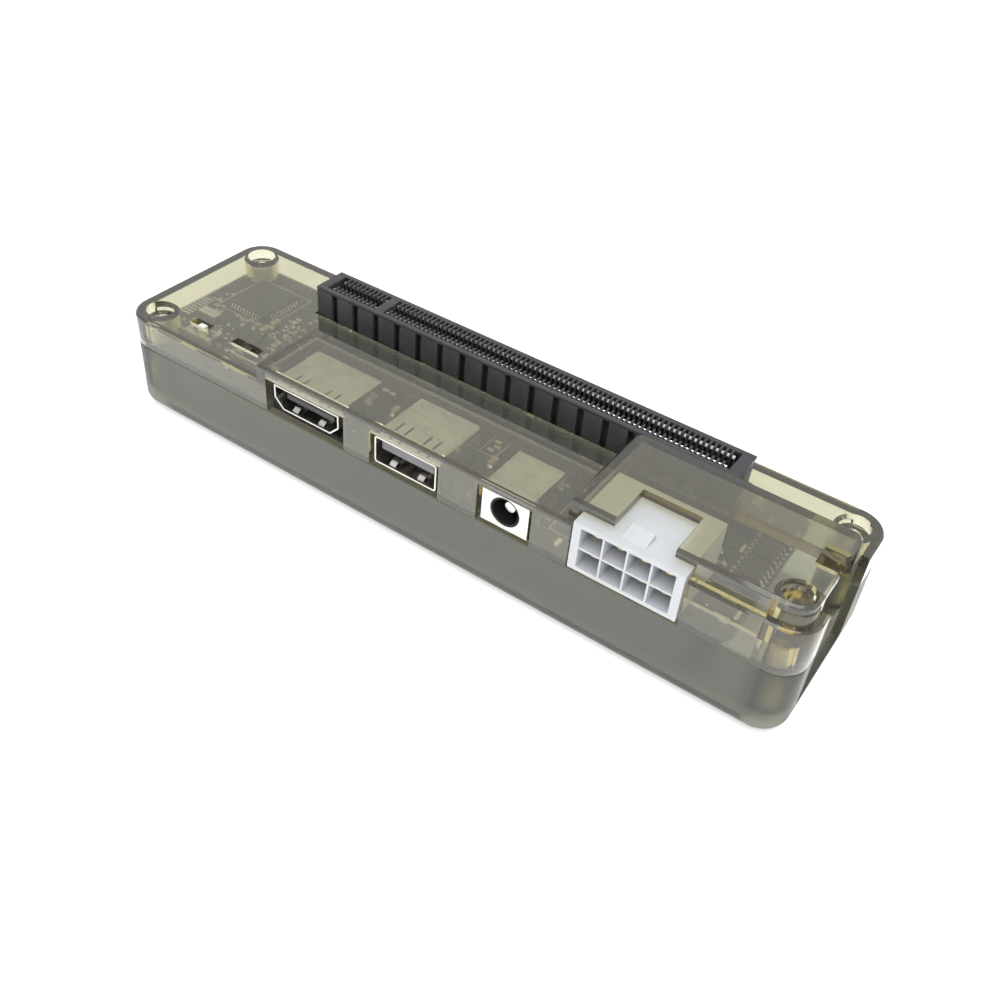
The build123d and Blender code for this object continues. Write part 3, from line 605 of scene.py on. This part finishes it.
CAN = Plating("drawn_can", colour=(0.82, 0.82, 0.83), dull=(0.7, 0.7, 0.71), roughness=0.3)
ZINC = Plating("zinc_plate", colour=(0.66, 0.66, 0.65), dull=(0.5, 0.5, 0.5), roughness=0.33)
MASK = SolderMask("solder_mask")
PAPER = FloorPaper("white_paper")


@dataclass(frozen=True)
class NodeLook:
    """How a carried-over node is dressed: its finish, and the width of its rounded edges or 0."""

    finish: Finish
    edge: float = 0.0


NODE_LOOKS: dict[str, NodeLook] = {
    "bottom_shell": NodeLook(LOWER_SHELL_SHADED, 0.12 * MM),
    "top_cover": NodeLook(COVER, 0.15 * MM),
    "circuit_board": NodeLook(MASK, 0.06 * MM),
    "case_screws": NodeLook(ZINC, 0.12 * MM),
    "video_port_shell": NodeLook(NICKEL, 0.1 * MM),
    "video_port_insert": NodeLook(SLOT_PLASTIC, 0.08 * MM),
    "video_port_contacts": NodeLook(GOLD),
    "data_port_shell": NodeLook(NICKEL, 0.1 * MM),
    "data_port_insert": NodeLook(TONGUE_PLASTIC, 0.12 * MM),
    "data_port_contacts": NodeLook(GOLD),
    "power_jack_body": NodeLook(NICKEL, 0.15 * MM),
    "power_jack_pin": NodeLook(NICKEL, 0.25 * MM),
    "power_connector_body": NodeLook(NYLON, 0.14 * MM),
    "power_connector_pins": NodeLook(GOLD, 0.15 * MM),
    "switch_one_body": NodeLook(NICKEL, 0.1 * MM),
    "switch_one_lever": NodeLook(LEVER_WHITE, 0.12 * MM),
    "switch_two_body": NodeLook(NICKEL, 0.1 * MM),
    "switch_two_lever": NodeLook(LEVER_BLACK, 0.12 * MM),
    "memory_chip": NodeLook(EPOXY, 0.06 * MM),
    "power_coil": NodeLook(EPOXY, 0.12 * MM),
    "capacitor_cans": NodeLook(CAN, 0.15 * MM),
    "crystal": NodeLook(CAN, 0.3 * MM),
    "status_lamps": NodeLook(LEVER_WHITE, 0.1 * MM),
    "edge_pads": NodeLook(TIN),
}


@dataclass
class CarriedNodes:
    """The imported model's nodes that show as they are, with a finish and rounded edges."""

    weld_gap: float = 0.001 * MM
    segments: int = 2

    def round_edges(self, node: bpy.types.Object, width: float) -> None:
        """Join a node's loose triangles and round its sharp edges.

        Args:
            node: the node's object.
            width: width of the rounding in metres.
        """
        weld = node.modifiers.new("weld", "WELD")
        weld.merge_threshold = self.weld_gap
        edge = node.modifiers.new("edge", "BEVEL")
        edge.width = width
        edge.segments = self.segments
        edge.limit_method = "ANGLE"
        edge.angle_limit = SHARP
        edge.harden_normals = True
        edge.use_clamp_overlap = True

    def build(self) -> None:
        """Dress every node in the list of looks."""
        for name, look in NODE_LOOKS.items():
            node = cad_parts[name]
            node.data.materials.clear()
            node.data.materials.append(look.finish.material())
            if look.edge:
                self.round_edges(node, look.edge)
            log.info("%s: %s", name, look.finish.name)


@dataclass
class SmallParts:
    """Chip resistors and ceramic capacitors with tinned ends, seated on their solder."""

    end_share: float = 0.22
    solder_height: float = 0.16 * MM
    solder_ease: float = 0.07 * MM
    solder_reach: float = 0.56
    body_share: tuple[float, float, float] = (0.7, 0.94, 0.93)
    film_share: tuple[float, float, float] = (0.54, 0.8, 0.05)
    film_ease: float = 0.005 * MM

    def build(self) -> None:
        """Dress both kinds, each as one piece in place of its node."""
        self.kind("resistors", Slot.CHIP, ALUMINA, GLAZE)
        self.kind("ceramic_capacitors", Slot.CERAMIC, CERAMIC, None)

    def kind(self, node: str, slot: Slot, body: Finish, top: Finish | None) -> None:
        """Make one kind of two-ended part.

        Args:
            node: the CAD node with a plain block for each part.
            slot: its material slot.
            body: finish between the ends.
            top: finish of a thin film on the top, or None.
        """
        solids = solids_of(node)
        size = (solids[:, 1] - solids[:, 0])[0]
        length, width, height = max(size[:2]), min(size[:2]), size[2]
        turn = 0.0 if size[0] > size[1] else math.pi / 2
        along = np.array([math.cos(turn), math.sin(turn), 0.0])
        spots = feet(solids)
        piece = Piece(node + "_dressed", slot)
        whole = np.array([length, width, height])
        piece.add(Form.block(whole * self.body_share), spots, body, turn)
        if top:
            film = Form.block(whole * self.film_share, ease=self.film_ease)
            piece.add(film, spots + (0, 0, height * self.body_share[2]), top, turn)
        reach = length * (1 - self.end_share) / 2
        end = Form.block((length * self.end_share, width, height))
        wick = Form.block((length * 0.3, width * 0.86, self.solder_height), ease=self.solder_ease)
        for way in (-1, 1):
            piece.add(end, spots + way * reach * along, TIN, turn)
            piece.add(wick, spots + way * length * self.solder_reach * along, TIN, turn)
        piece.build([node])


@dataclass
class LeadedChips:
    """Moulded chips, with bent leads where the CAD has plain feet."""

    shoulder: float = 0.62
    root: float = -0.1
    knee: float = 0.3
    ankle: float = 0.55
    sole: float = 0.1 * MM
    lead_thickness: float = 0.14 * MM
    lead_share: float = 0.9
    blob_corner: float = 0.12 * MM
    corner: float = 0.25 * MM
    ease: float = 0.12 * MM
    mark_share: float = 0.38
    mark_radius: float = 0.09
    mark_height: float = 0.01 * MM

    def leads(self, node: str, chips: str) -> None:
        """Bend a lead from the side of a chip down to each CAD foot.

        Args:
            node: the CAD node with the feet.
            chips: the CAD node with the chips' bodies.
        """
        solids, bodies = solids_of(node), solids_of(chips)
        spots, middles = feet(solids), feet(bodies)
        nearest = np.linalg.norm(spots[:, None] - middles[None], axis=2).argmin(axis=1)
        away = spots - middles[nearest]
        half = ((bodies[:, 1] - bodies[:, 0]) / 2)[nearest]
        sideways = np.abs(away[:, 0]) > half[:, 0]
        turns = np.where(sideways, np.where(away[:, 0] > 0, 0, np.pi),
                         np.where(away[:, 1] > 0, 1, -1) * np.pi / 2)
        outward = np.stack([np.cos(turns), np.sin(turns), 0 * turns], axis=1)
        size = solids[0, 1] - solids[0, 0]
        reach, width = max(size[:2]), min(size[:2])
        rise = (bodies[0, 1] - bodies[0, 0])[2] * self.shoulder
        path = [(self.root * reach, rise), (self.knee * reach, rise),
                (self.ankle * reach, self.sole), (reach, self.sole)]
        lead = Form.strip(path, width * self.lead_share, self.lead_thickness)
        blob = Form.block((0.5 * reach, width, self.sole), corner=self.blob_corner)
        piece = Piece(node + "_bent", Slot.PLATED)
        piece.add(lead, spots - outward * reach / 2, TIN, turns)
        piece.add(blob, spots + outward * reach / 4, TIN, turns)
        piece.build([node])

    def bodies(self, node: str) -> None:
        """Give each chip eased edges and a small round mark at its first corner.

        Args:
            node: the CAD node with the chips' bodies.
        """
        solids = solids_of(node)
        size = (solids[:, 1] - solids[:, 0])[0]
        piece = Piece(node + "_moulded", Slot.CHIP)
        piece.add(Form.block(size, corner=self.corner, ease=self.ease), feet(solids), EPOXY)
        mark = feet(solids) + (-self.mark_share * size[0], -self.mark_share * size[1], size[2])
        piece.add(Form.disc(self.mark_radius * min(size[:2]), self.mark_height), mark, GLAZE)
        piece.build([node])

    def build(self) -> None:
        """Dress every chip that has a node of its own."""
        self.leads("main_chip_leads", "main_chip")
        self.leads("transistor_leads", "power_transistors")
        for node in ("main_chip", "driver_chips", "power_transistors"):
            self.bodies(node)


@dataclass
class CardSlot:
    """Graphics card slot, built up from eased mouldings: a core, ribs, rails, webs and contacts.

    The core and the walls of the windows and the channel take a near-black painted shade, so the grooves
    and the channel read dark.
    """

    foot: float = 0.4 * MM
    floor_height: float = 3.6 * MM
    channel_half: float = 0.95 * MM
    window_depth: float = 2.6 * MM
    rail_inside: float = 2.6 * MM
    rib_depth: float = 0.9 * MM
    rib_pitch: float = 5.0 * MM
    groove_width: float = 1.25 * MM
    cap_height: float = 0.6 * MM
    web_width: float = 0.38 * MM
    key_width: float = 1.9 * MM
    corner: float = 0.07 * MM
    ease: float = 0.06 * MM
    end_room: float = 1.0 * MM
    foot_half: float = 1.2 * MM
    rib_corner: float = 0.12 * MM
    rib_ease: float = 0.08 * MM
    web_corner: float = 0.08 * MM
    web_ease: float = 0.04 * MM
    tip_width: float = 0.5 * MM
    tip_thickness: float = 0.16 * MM
    tip_path: tuple[tuple[float, float], ...] = (
        (-0.9 * MM, 0.0), (-0.8 * MM, 1.1 * MM), (-0.1 * MM, 1.7 * MM), (-0.5 * MM, 2.25 * MM),
    )

    def beam(self, piece: Piece, low: Sequence[float], high: Sequence[float],
             finish: Finish = SLOT_PLASTIC) -> None:
        """Add one eased beam between two corners.

        Args:
            piece: the piece that it becomes part of.
            low: lowest corner in metres.
            high: highest corner in metres.
            finish: the beam's finish.
        """
        low, high = np.array(low), np.array(high)
        foot = (low + high) / 2
        foot[2] = low[2]
        piece.add(Form.block(high - low, self.corner, self.ease), foot, finish)

    def contacts(self) -> tuple[np.ndarray, np.ndarray]:
        """Find the feet of the contacts.

        Returns:
            The places of the front and of the back contacts, each in order along X.
        """
        rows = [feet(solids_of(node)) for node in ("slot_contacts_front", "slot_contacts_back")]
        return rows[0][np.argsort(rows[0][:, 0])], rows[1][np.argsort(rows[1][:, 0])]

    def build(self) -> None:
        """Build the body and its contacts in place of the plain nodes."""
        low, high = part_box("slot_body")
        middle, top = (low.y + high.y) / 2, high.z
        shelf, floor = top - self.window_depth, low.z + self.floor_height
        half = (high.y - low.y) / 2
        core = half - self.rib_depth
        front, back = self.contacts()
        first, last = front[0, 0] - self.end_room, front[-1, 0] + self.end_room
        gap = np.argmax(np.diff(front[:, 0]))
        key = (front[gap, 0] + front[gap + 1, 0]) / 2
        key_half = self.key_width / 2
        body = Piece("slot_moulding", Slot.BLACK)
        # Core beam in the near-black painted shade, which shows in the grooves between the ribs.
        self.beam(body, (low.x, middle - core, low.z + self.foot), (high.x, middle + core, floor),
                  PAINTED_SHADE_BLACK)
        for start, end in ((low.x, first), (last, high.x), (key - key_half, key + key_half)):
            self.beam(body, (start, middle - self.rail_inside, floor),
                      (end, middle + self.rail_inside, top))
        for x in (low.x + self.foot_half, key, high.x - self.foot_half):
            self.beam(body, (x - self.foot_half, middle - core, low.z),
                      (x + self.foot_half, middle + core, low.z + self.foot))
        ribs = np.arange(low.x + self.rib_pitch / 2 - self.groove_width / 2, high.x, self.rib_pitch)
        rib_height = top - self.cap_height - low.z - self.foot
        rib = Form.block((self.rib_pitch - self.groove_width, self.rib_depth, rib_height),
                         self.rib_corner, self.rib_ease)
        depth = self.rail_inside - self.channel_half
        web = Form.block((self.web_width, depth, self.window_depth), self.web_corner, self.web_ease)
        for side, spots in ((-1, front), (1, back)):
            inner, outer = sorted((middle + side * self.channel_half, middle + side * core))
            # Channel walls below the windows, in the near-black painted shade.
            self.beam(body, (first, inner, floor), (last, outer, shelf), PAINTED_SHADE_BLACK)
            inner, outer = sorted((middle + side * self.rail_inside, middle + side * half))
            self.beam(body, (low.x, inner, top - self.cap_height), (high.x, outer, top))
            inner, outer = sorted((middle + side * self.rail_inside, middle + side * core))
            # Outer walls of the windows, in the near-black painted shade that also darkens the upper
            # grooves.
            self.beam(body, (low.x, inner, shelf), (high.x, outer, top - self.cap_height), PAINTED_SHADE_BLACK)
            wall = middle + side * (core + self.rib_depth / 2)
            places = np.column_stack([ribs, np.full(len(ribs), wall),
                                      np.full(len(ribs), low.z + self.foot)])
            body.add(rib, places, SLOT_PLASTIC)
            between = (spots[1:] + spots[:-1])[np.diff(spots[:, 0]) < self.key_width] / 2
            between[:, 1] = middle + side * (self.channel_half + depth / 2)
            between[:, 2] = shelf
            body.add(web, between, SLOT_PLASTIC)
        body.build(["slot_body"])
        self.tips(front, back)

    def tips(self, front: np.ndarray, back: np.ndarray) -> None:
        """Bend each contact's tip towards the card.

        Args:
            front: feet of the front contacts.
            back: feet of the back contacts.
        """
        tip = Form.strip(self.tip_path, self.tip_width, self.tip_thickness)
        piece = Piece("slot_contact_tips", Slot.CONTACT)
        piece.add(tip, front, TIN, math.pi / 2)
        piece.add(tip, back, TIN, -math.pi / 2)
        piece.build(["slot_contacts_front", "slot_contacts_back"])


@dataclass
class JackBoreShade:
    """Black cup inside the power jack, round its pin: painted shade that darkens the jack's bore."""

    outside: float = 2.84 * MM
    inside: float = 2.5 * MM
    depth: float = 8.4 * MM
    setback: float = 0.08 * MM
    lip: float = 0.1 * MM
    lip_rise: float = 0.05 * MM
    mouth: float = 0.4 * MM
    end_wall: float = 0.2 * MM
    taper: float = 0.96
    points: int = 48

    def build(self) -> None:
        """Turn the cup's profile about the pin's axis.

        A point of the profile at radius r and depth y goes to (r cos u, y, r sin u), by an angle u.
        """
        low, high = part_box("power_jack_pin")
        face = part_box("power_jack_body")[0].y + self.setback
        axis = ((low.x + high.x) / 2, (low.z + high.z) / 2)
        u = np.linspace(0, 2 * np.pi, self.points, endpoint=False)
        profile = np.array([
            (self.outside, self.depth), (self.outside, 0), (self.outside - self.lip, -self.lip_rise),
            (self.inside, 0), (self.inside, self.mouth),
            (self.inside * self.taper, self.depth - self.end_wall),
        ])
        radius, y = profile[:, :1], profile[:, 1:]
        x, z = radius * np.cos(u), radius * np.sin(u)
        rings = np.stack([axis[0] + x, np.broadcast_to(face + y, x.shape), axis[1] + z], axis=-1)
        piece = Piece("jack_bore_shade", Slot.BLACK)
        # The whole cup takes the near-black painted shade finish.
        piece.add(Form(rings), np.zeros(3), PAINTED_SHADE_BLACK)
        piece.build()


@dataclass
class BoardPrint:
    """White lines, tinned vias and bare pads on the board. The lines are plain bars and outlines.

    A bar or an outline is its middle's x and y, its width and its depth, in millimetres. The pads'
    patch is its low x and y and its high x and y, in millimetres.
    """

    ink_height: float = 0.02 * MM
    ink_ease: float = 0.004 * MM
    bar_corner: float = 0.08 * MM
    line: float = 0.18 * MM
    line_corner: float = 0.05 * MM
    outlines: tuple[tuple[float, float, float, float], ...] = (
        (5.3, -1.6, 3.2, 6.3), (-57.6, 6.2, 13.2, 13.2), (-40.0, -6.5, 6.0, 7.4), (26.5, -9.5, 5.6, 5.6),
    )
    bars: tuple[tuple[float, float, float, float], ...] = (
        (-19.0, 1.2, 1.6, 1.3), (-17.0, 1.0, 1.5, 1.3), (-15.1, 0.9, 1.5, 1.2), (-13.2, 0.8, 1.6, 1.2),
        (-20.0, -1.3, 1.4, 0.8), (-18.3, -1.4, 1.2, 0.8), (-7.6, 1.0, 1.2, 0.7), (-6.0, 1.0, 1.3, 0.7),
        (-4.4, 0.9, 1.1, 0.7), (5.0, -0.6, 1.4, 0.7), (5.6, -1.9, 1.2, 0.7), (5.0, -3.2, 1.3, 0.7),
        (55.3, -11.5, 2.6, 0.6), (55.9, -13.0, 1.4, 0.6), (57.2, -9.2, 0.6, 3.4), (51.6, 2.2, 0.5, 2.0),
        (-45.6, 6.6, 1.0, 0.5), (-45.4, 8.0, 1.4, 0.5), (-47.0, 11.8, 2.2, 0.4), (-65.6, 0.9, 2.6, 0.4),
        (-62.4, -11.0, 1.6, 0.5), (-49.6, -12.8, 1.2, 0.5), (-33.0, 1.4, 1.6, 0.5),
        (20.4, 0.6, 2.2, 0.5),
    )
    via_count: int = 110
    via_radius: float = 0.2 * MM
    via_height: float = 0.015 * MM
    via_edge_gap: tuple[float, float] = (1.5 * MM, 2 * MM)
    via_back: float = 3.5 * MM
    pad_count: int = 130
    pad_patch: tuple[float, float, float, float] = (-66.0, -14.5, -42.5, 4.5)
    pad_size: tuple[float, float, float] = (0.75 * MM, 0.5 * MM, 0.05 * MM)
    pad_corner: float = 0.1 * MM
    pad_ease: float = 0.015 * MM
    seed: int = 7

    def lines(self, top: float) -> None:
        """Print the bars and outlines.

        Args:
            top: height of the board's top.
        """
        ink = Piece("board_print", Slot.WHITE)
        for x, y, width, depth in self.bars:
            size = (width * MM, depth * MM, self.ink_height)
            bar = Form.block(size, self.bar_corner, self.ink_ease)
            ink.add(bar, np.array([[x * MM, y * MM, top]]), INK)
        way = np.array([[-1.0], [1.0]])
        for x, y, width, depth in self.outlines:
            across = Form.block((width * MM, self.line, self.ink_height), self.line_corner,
                                self.ink_ease)
            along = Form.block((self.line, depth * MM, self.ink_height), self.line_corner,
                               self.ink_ease)
            ends = np.array([x * MM, y * MM, top]) + way * np.array([0, depth / 2 * MM, 0])
            sides = np.array([x * MM, y * MM, top]) + way * np.array([width / 2 * MM, 0, 0])
            ink.add(across, ends, INK)
            ink.add(along, sides, INK)
        ink.build()

    def metal(self, low: Vector, high: Vector) -> None:
        """Set the vias and bare pads at random into clear places of the board.

        Args:
            low: the board's lowest corner.
            high: the board's highest corner.
        """
        random = np.random.default_rng(self.seed)
        gap_x, gap_y = self.via_edge_gap
        spots = random.uniform((low.x + gap_x, low.y + gap_y), (high.x - gap_y, self.via_back),
                               (self.via_count, 2))
        x0, y0, x1, y1 = (side * MM for side in self.pad_patch)
        pads = random.uniform((x0, y0), (x1, y1), (self.pad_count, 2))
        taken = np.concatenate([solids_of(name) for name in (
            "main_chip", "driver_chips", "memory_chip", "resistors", "ceramic_capacitors",
            "power_transistors", "switch_one_body", "switch_two_body", "crystal", "capacitor_cans",
            "status_lamps", "edge_pads")])
        spots, pads = self.free(spots, taken), self.free(pads, taken)
        spots = np.column_stack([spots, np.full(len(spots), high.z)])
        pads = np.column_stack([pads, np.full(len(pads), high.z)])
        width, depth, height = self.pad_size
        bare = Piece("board_pads", Slot.CONTACT)
        bare.add(Form.block((width, depth, height), self.pad_corner, self.pad_ease), pads[::2], TIN)
        bare.add(Form.block((depth, width, height), self.pad_corner, self.pad_ease), pads[1::2], TIN)
        bare.build()
        vias = Piece("board_vias", Slot.CONTACT)
        vias.add(Form.disc(self.via_radius, self.via_height, 3), spots, TIN)
        vias.build()

    def build(self) -> None:
        """Print the lines, then set the metal."""
        low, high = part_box("circuit_board")
        self.lines(high.z)
        self.metal(low, high)

    @staticmethod
    def free(spots: np.ndarray, taken: np.ndarray, room: float = 0.5 * MM) -> np.ndarray:
        """Leave out the spots that fall on a part.

        Args:
            spots: places on the board, one a row.
            taken: low and high corners of the parts' boxes.
            room: clear strip kept round each box.

        Returns:
            The spots s where no box has low - room < s < high + room in both X and Y.
        """
        low, high = taken[None, :, 0, :2] - room, taken[None, :, 1, :2] + room
        inside = (spots[:, None] > low) & (spots[:, None] < high)
        return spots[~inside.all(axis=2).any(axis=1)]


@dataclass
class PortTrim:
    """Leaf springs inside the mouths of the two ports."""

    leaf_width: float = 1.3 * MM
    leaf_length: float = 3.2 * MM
    leaf_rise: float = 0.62 * MM
    mouth_inset: float = 0.5 * MM
    spacing: float = 6.0 * MM
    shell: float = 0.35 * MM
    leaf_thickness: float = 0.12 * MM
    leaf_gap: float = 0.07 * MM
    heel: float = 0.05 * MM
    bends: tuple[float, float] = (0.3, 0.6)

    def leaf(self, way: int) -> Form:
        """Bend a leaf that bulges up for a way of 1 and down for a way of -1."""
        near, far = (share * self.leaf_length for share in self.bends)
        path = [(0, 0), (near, way * self.leaf_rise), (far, way * self.leaf_rise),
                (self.leaf_length, way * self.heel)]
        return Form.strip(path, self.leaf_width, self.leaf_thickness)

    def build(self) -> None:
        """Put two leaves on the floor and two under the top of each port."""
        piece = Piece("port_springs", Slot.PLATED)
        up, down = self.leaf(1), self.leaf(-1)
        quarter = math.pi / 2
        for port in ("video_port", "data_port"):
            low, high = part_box(port + "_shell")
            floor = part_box(port + "_insert")[0].z + self.leaf_gap
            roof = high.z - self.shell - self.leaf_gap
            x = (low.x + high.x) / 2 + np.array([-self.spacing / 2, self.spacing / 2])
            y = np.full(2, low.y + self.mouth_inset)
            back = y + self.leaf_length * self.bends[0]
            piece.add(up, np.column_stack([x, y, np.full(2, floor)]), NICKEL, quarter)
            piece.add(down, np.column_stack([x, back, np.full(2, roof)]), NICKEL, quarter)
        piece.build()


@dataclass
class Studio:
    """White paper floor, soft light from all round and the photograph's camera."""

    camera_place: tuple[float, float, float] = (85.68 * MM, -133.48 * MM, 137.27 * MM)
    azimuth: float = 30.80
    elevation: float = 40.97
    roll: float = 5.70
    lens: float = 39.96
    sensor: float = 36.0
    clip: tuple[float, float] = (0.005, 20.0)
    floor_size: float = 6.0
    floor_cells: int = 4
    floor_drop: float = 0.2 * MM
    world_light: float = 0.75
    key_power: float = 8.0
    key_size: float = 1.0
    key_place: tuple[float, float, float] = (0.15, -0.3, 1.0)

    def floor(self) -> None:
        """Lay the paper just under the case, as a flat grid in X and Y."""
        half, across = self.floor_size / 2, self.floor_cells
        steps = np.linspace(-half, half, across + 1)
        x, y = np.meshgrid(steps, steps)
        corners = np.stack([x.ravel(), y.ravel(), np.full(x.size, -self.floor_drop)], axis=1)
        cells = np.arange(across ** 2) + np.arange(across ** 2) // across
        faces = np.stack([cells, cells + 1, cells + across + 2, cells + across + 1], axis=1)
        mesh = bpy.data.meshes.new("floor")
        mesh.from_pydata(corners.tolist(), [], faces.tolist())
        mesh.materials.append(PAPER.material())
        paper = bpy.data.objects.new("floor", mesh)
        bpy.context.scene.collection.objects.link(paper)

    def light(self) -> None:
        """Light the scene with a white dome and one large soft lamp, high in front to the right."""
        world = bpy.data.worlds.new("dome")
        bpy.context.scene.world = world
        world.use_nodes = True
        shade = world.node_tree.nodes["Background"]
        shade.inputs["Color"].default_value = (1, 1, 1, 1)
        shade.inputs["Strength"].default_value = self.world_light
        lamp = bpy.data.lights.new("key", "AREA")
        lamp.shape = "SQUARE"
        lamp.size = self.key_size
        lamp.energy = self.key_power
        key = bpy.data.objects.new("key", lamp)
        key.location = self.key_place
        key.rotation_euler = (-Vector(key.location)).to_track_quat("-Z", "Y").to_euler()
        bpy.context.scene.collection.objects.link(key)

    def camera(self) -> None:
        """Set the camera by its place and three angles.

        It looks along (-sin a cos e, cos a cos e, -sin e) for an azimuth a and an elevation e, and is
        then rolled about that line.
        """
        turn, lift, tilt = (math.radians(a) for a in (self.azimuth, self.elevation, self.roll))
        flat = math.cos(lift)
        ahead = Vector((-math.sin(turn) * flat, math.cos(turn) * flat, -math.sin(lift)))
        level = ahead.cross(Vector((0, 0, 1))).normalized()
        upright = level.cross(ahead)
        right = level * math.cos(tilt) + upright * math.sin(tilt)
        up = right.cross(ahead)
        data = bpy.data.cameras.new("camera")
        data.lens = self.lens
        data.sensor_width = self.sensor
        data.clip_start, data.clip_end = self.clip
        eye = bpy.data.objects.new("camera", data)
        axes = Matrix((right, up, -ahead)).transposed().to_4x4()
        eye.matrix_world = Matrix.Translation(self.camera_place) @ axes
        bpy.context.scene.collection.objects.link(eye)
        bpy.context.scene.camera = eye

    def build(self) -> None:
        """Set up the floor, light, camera and plain colour handling."""
        self.floor()
        self.light()
        self.camera()
        bpy.context.scene.view_settings.view_transform = "Standard"
        log.info("studio ready")


def main() -> None:
    """Build the pieces in order."""
    logging.basicConfig(level=logging.INFO, format="%(name)s: %(message)s")
    for part in (CarriedNodes(), SmallParts(), LeadedChips(), CardSlot(), JackBoreShade(), BoardPrint(),
                 PortTrim()):
        part.build()
    Studio().build()


if __name__ == "__main__":
    main()
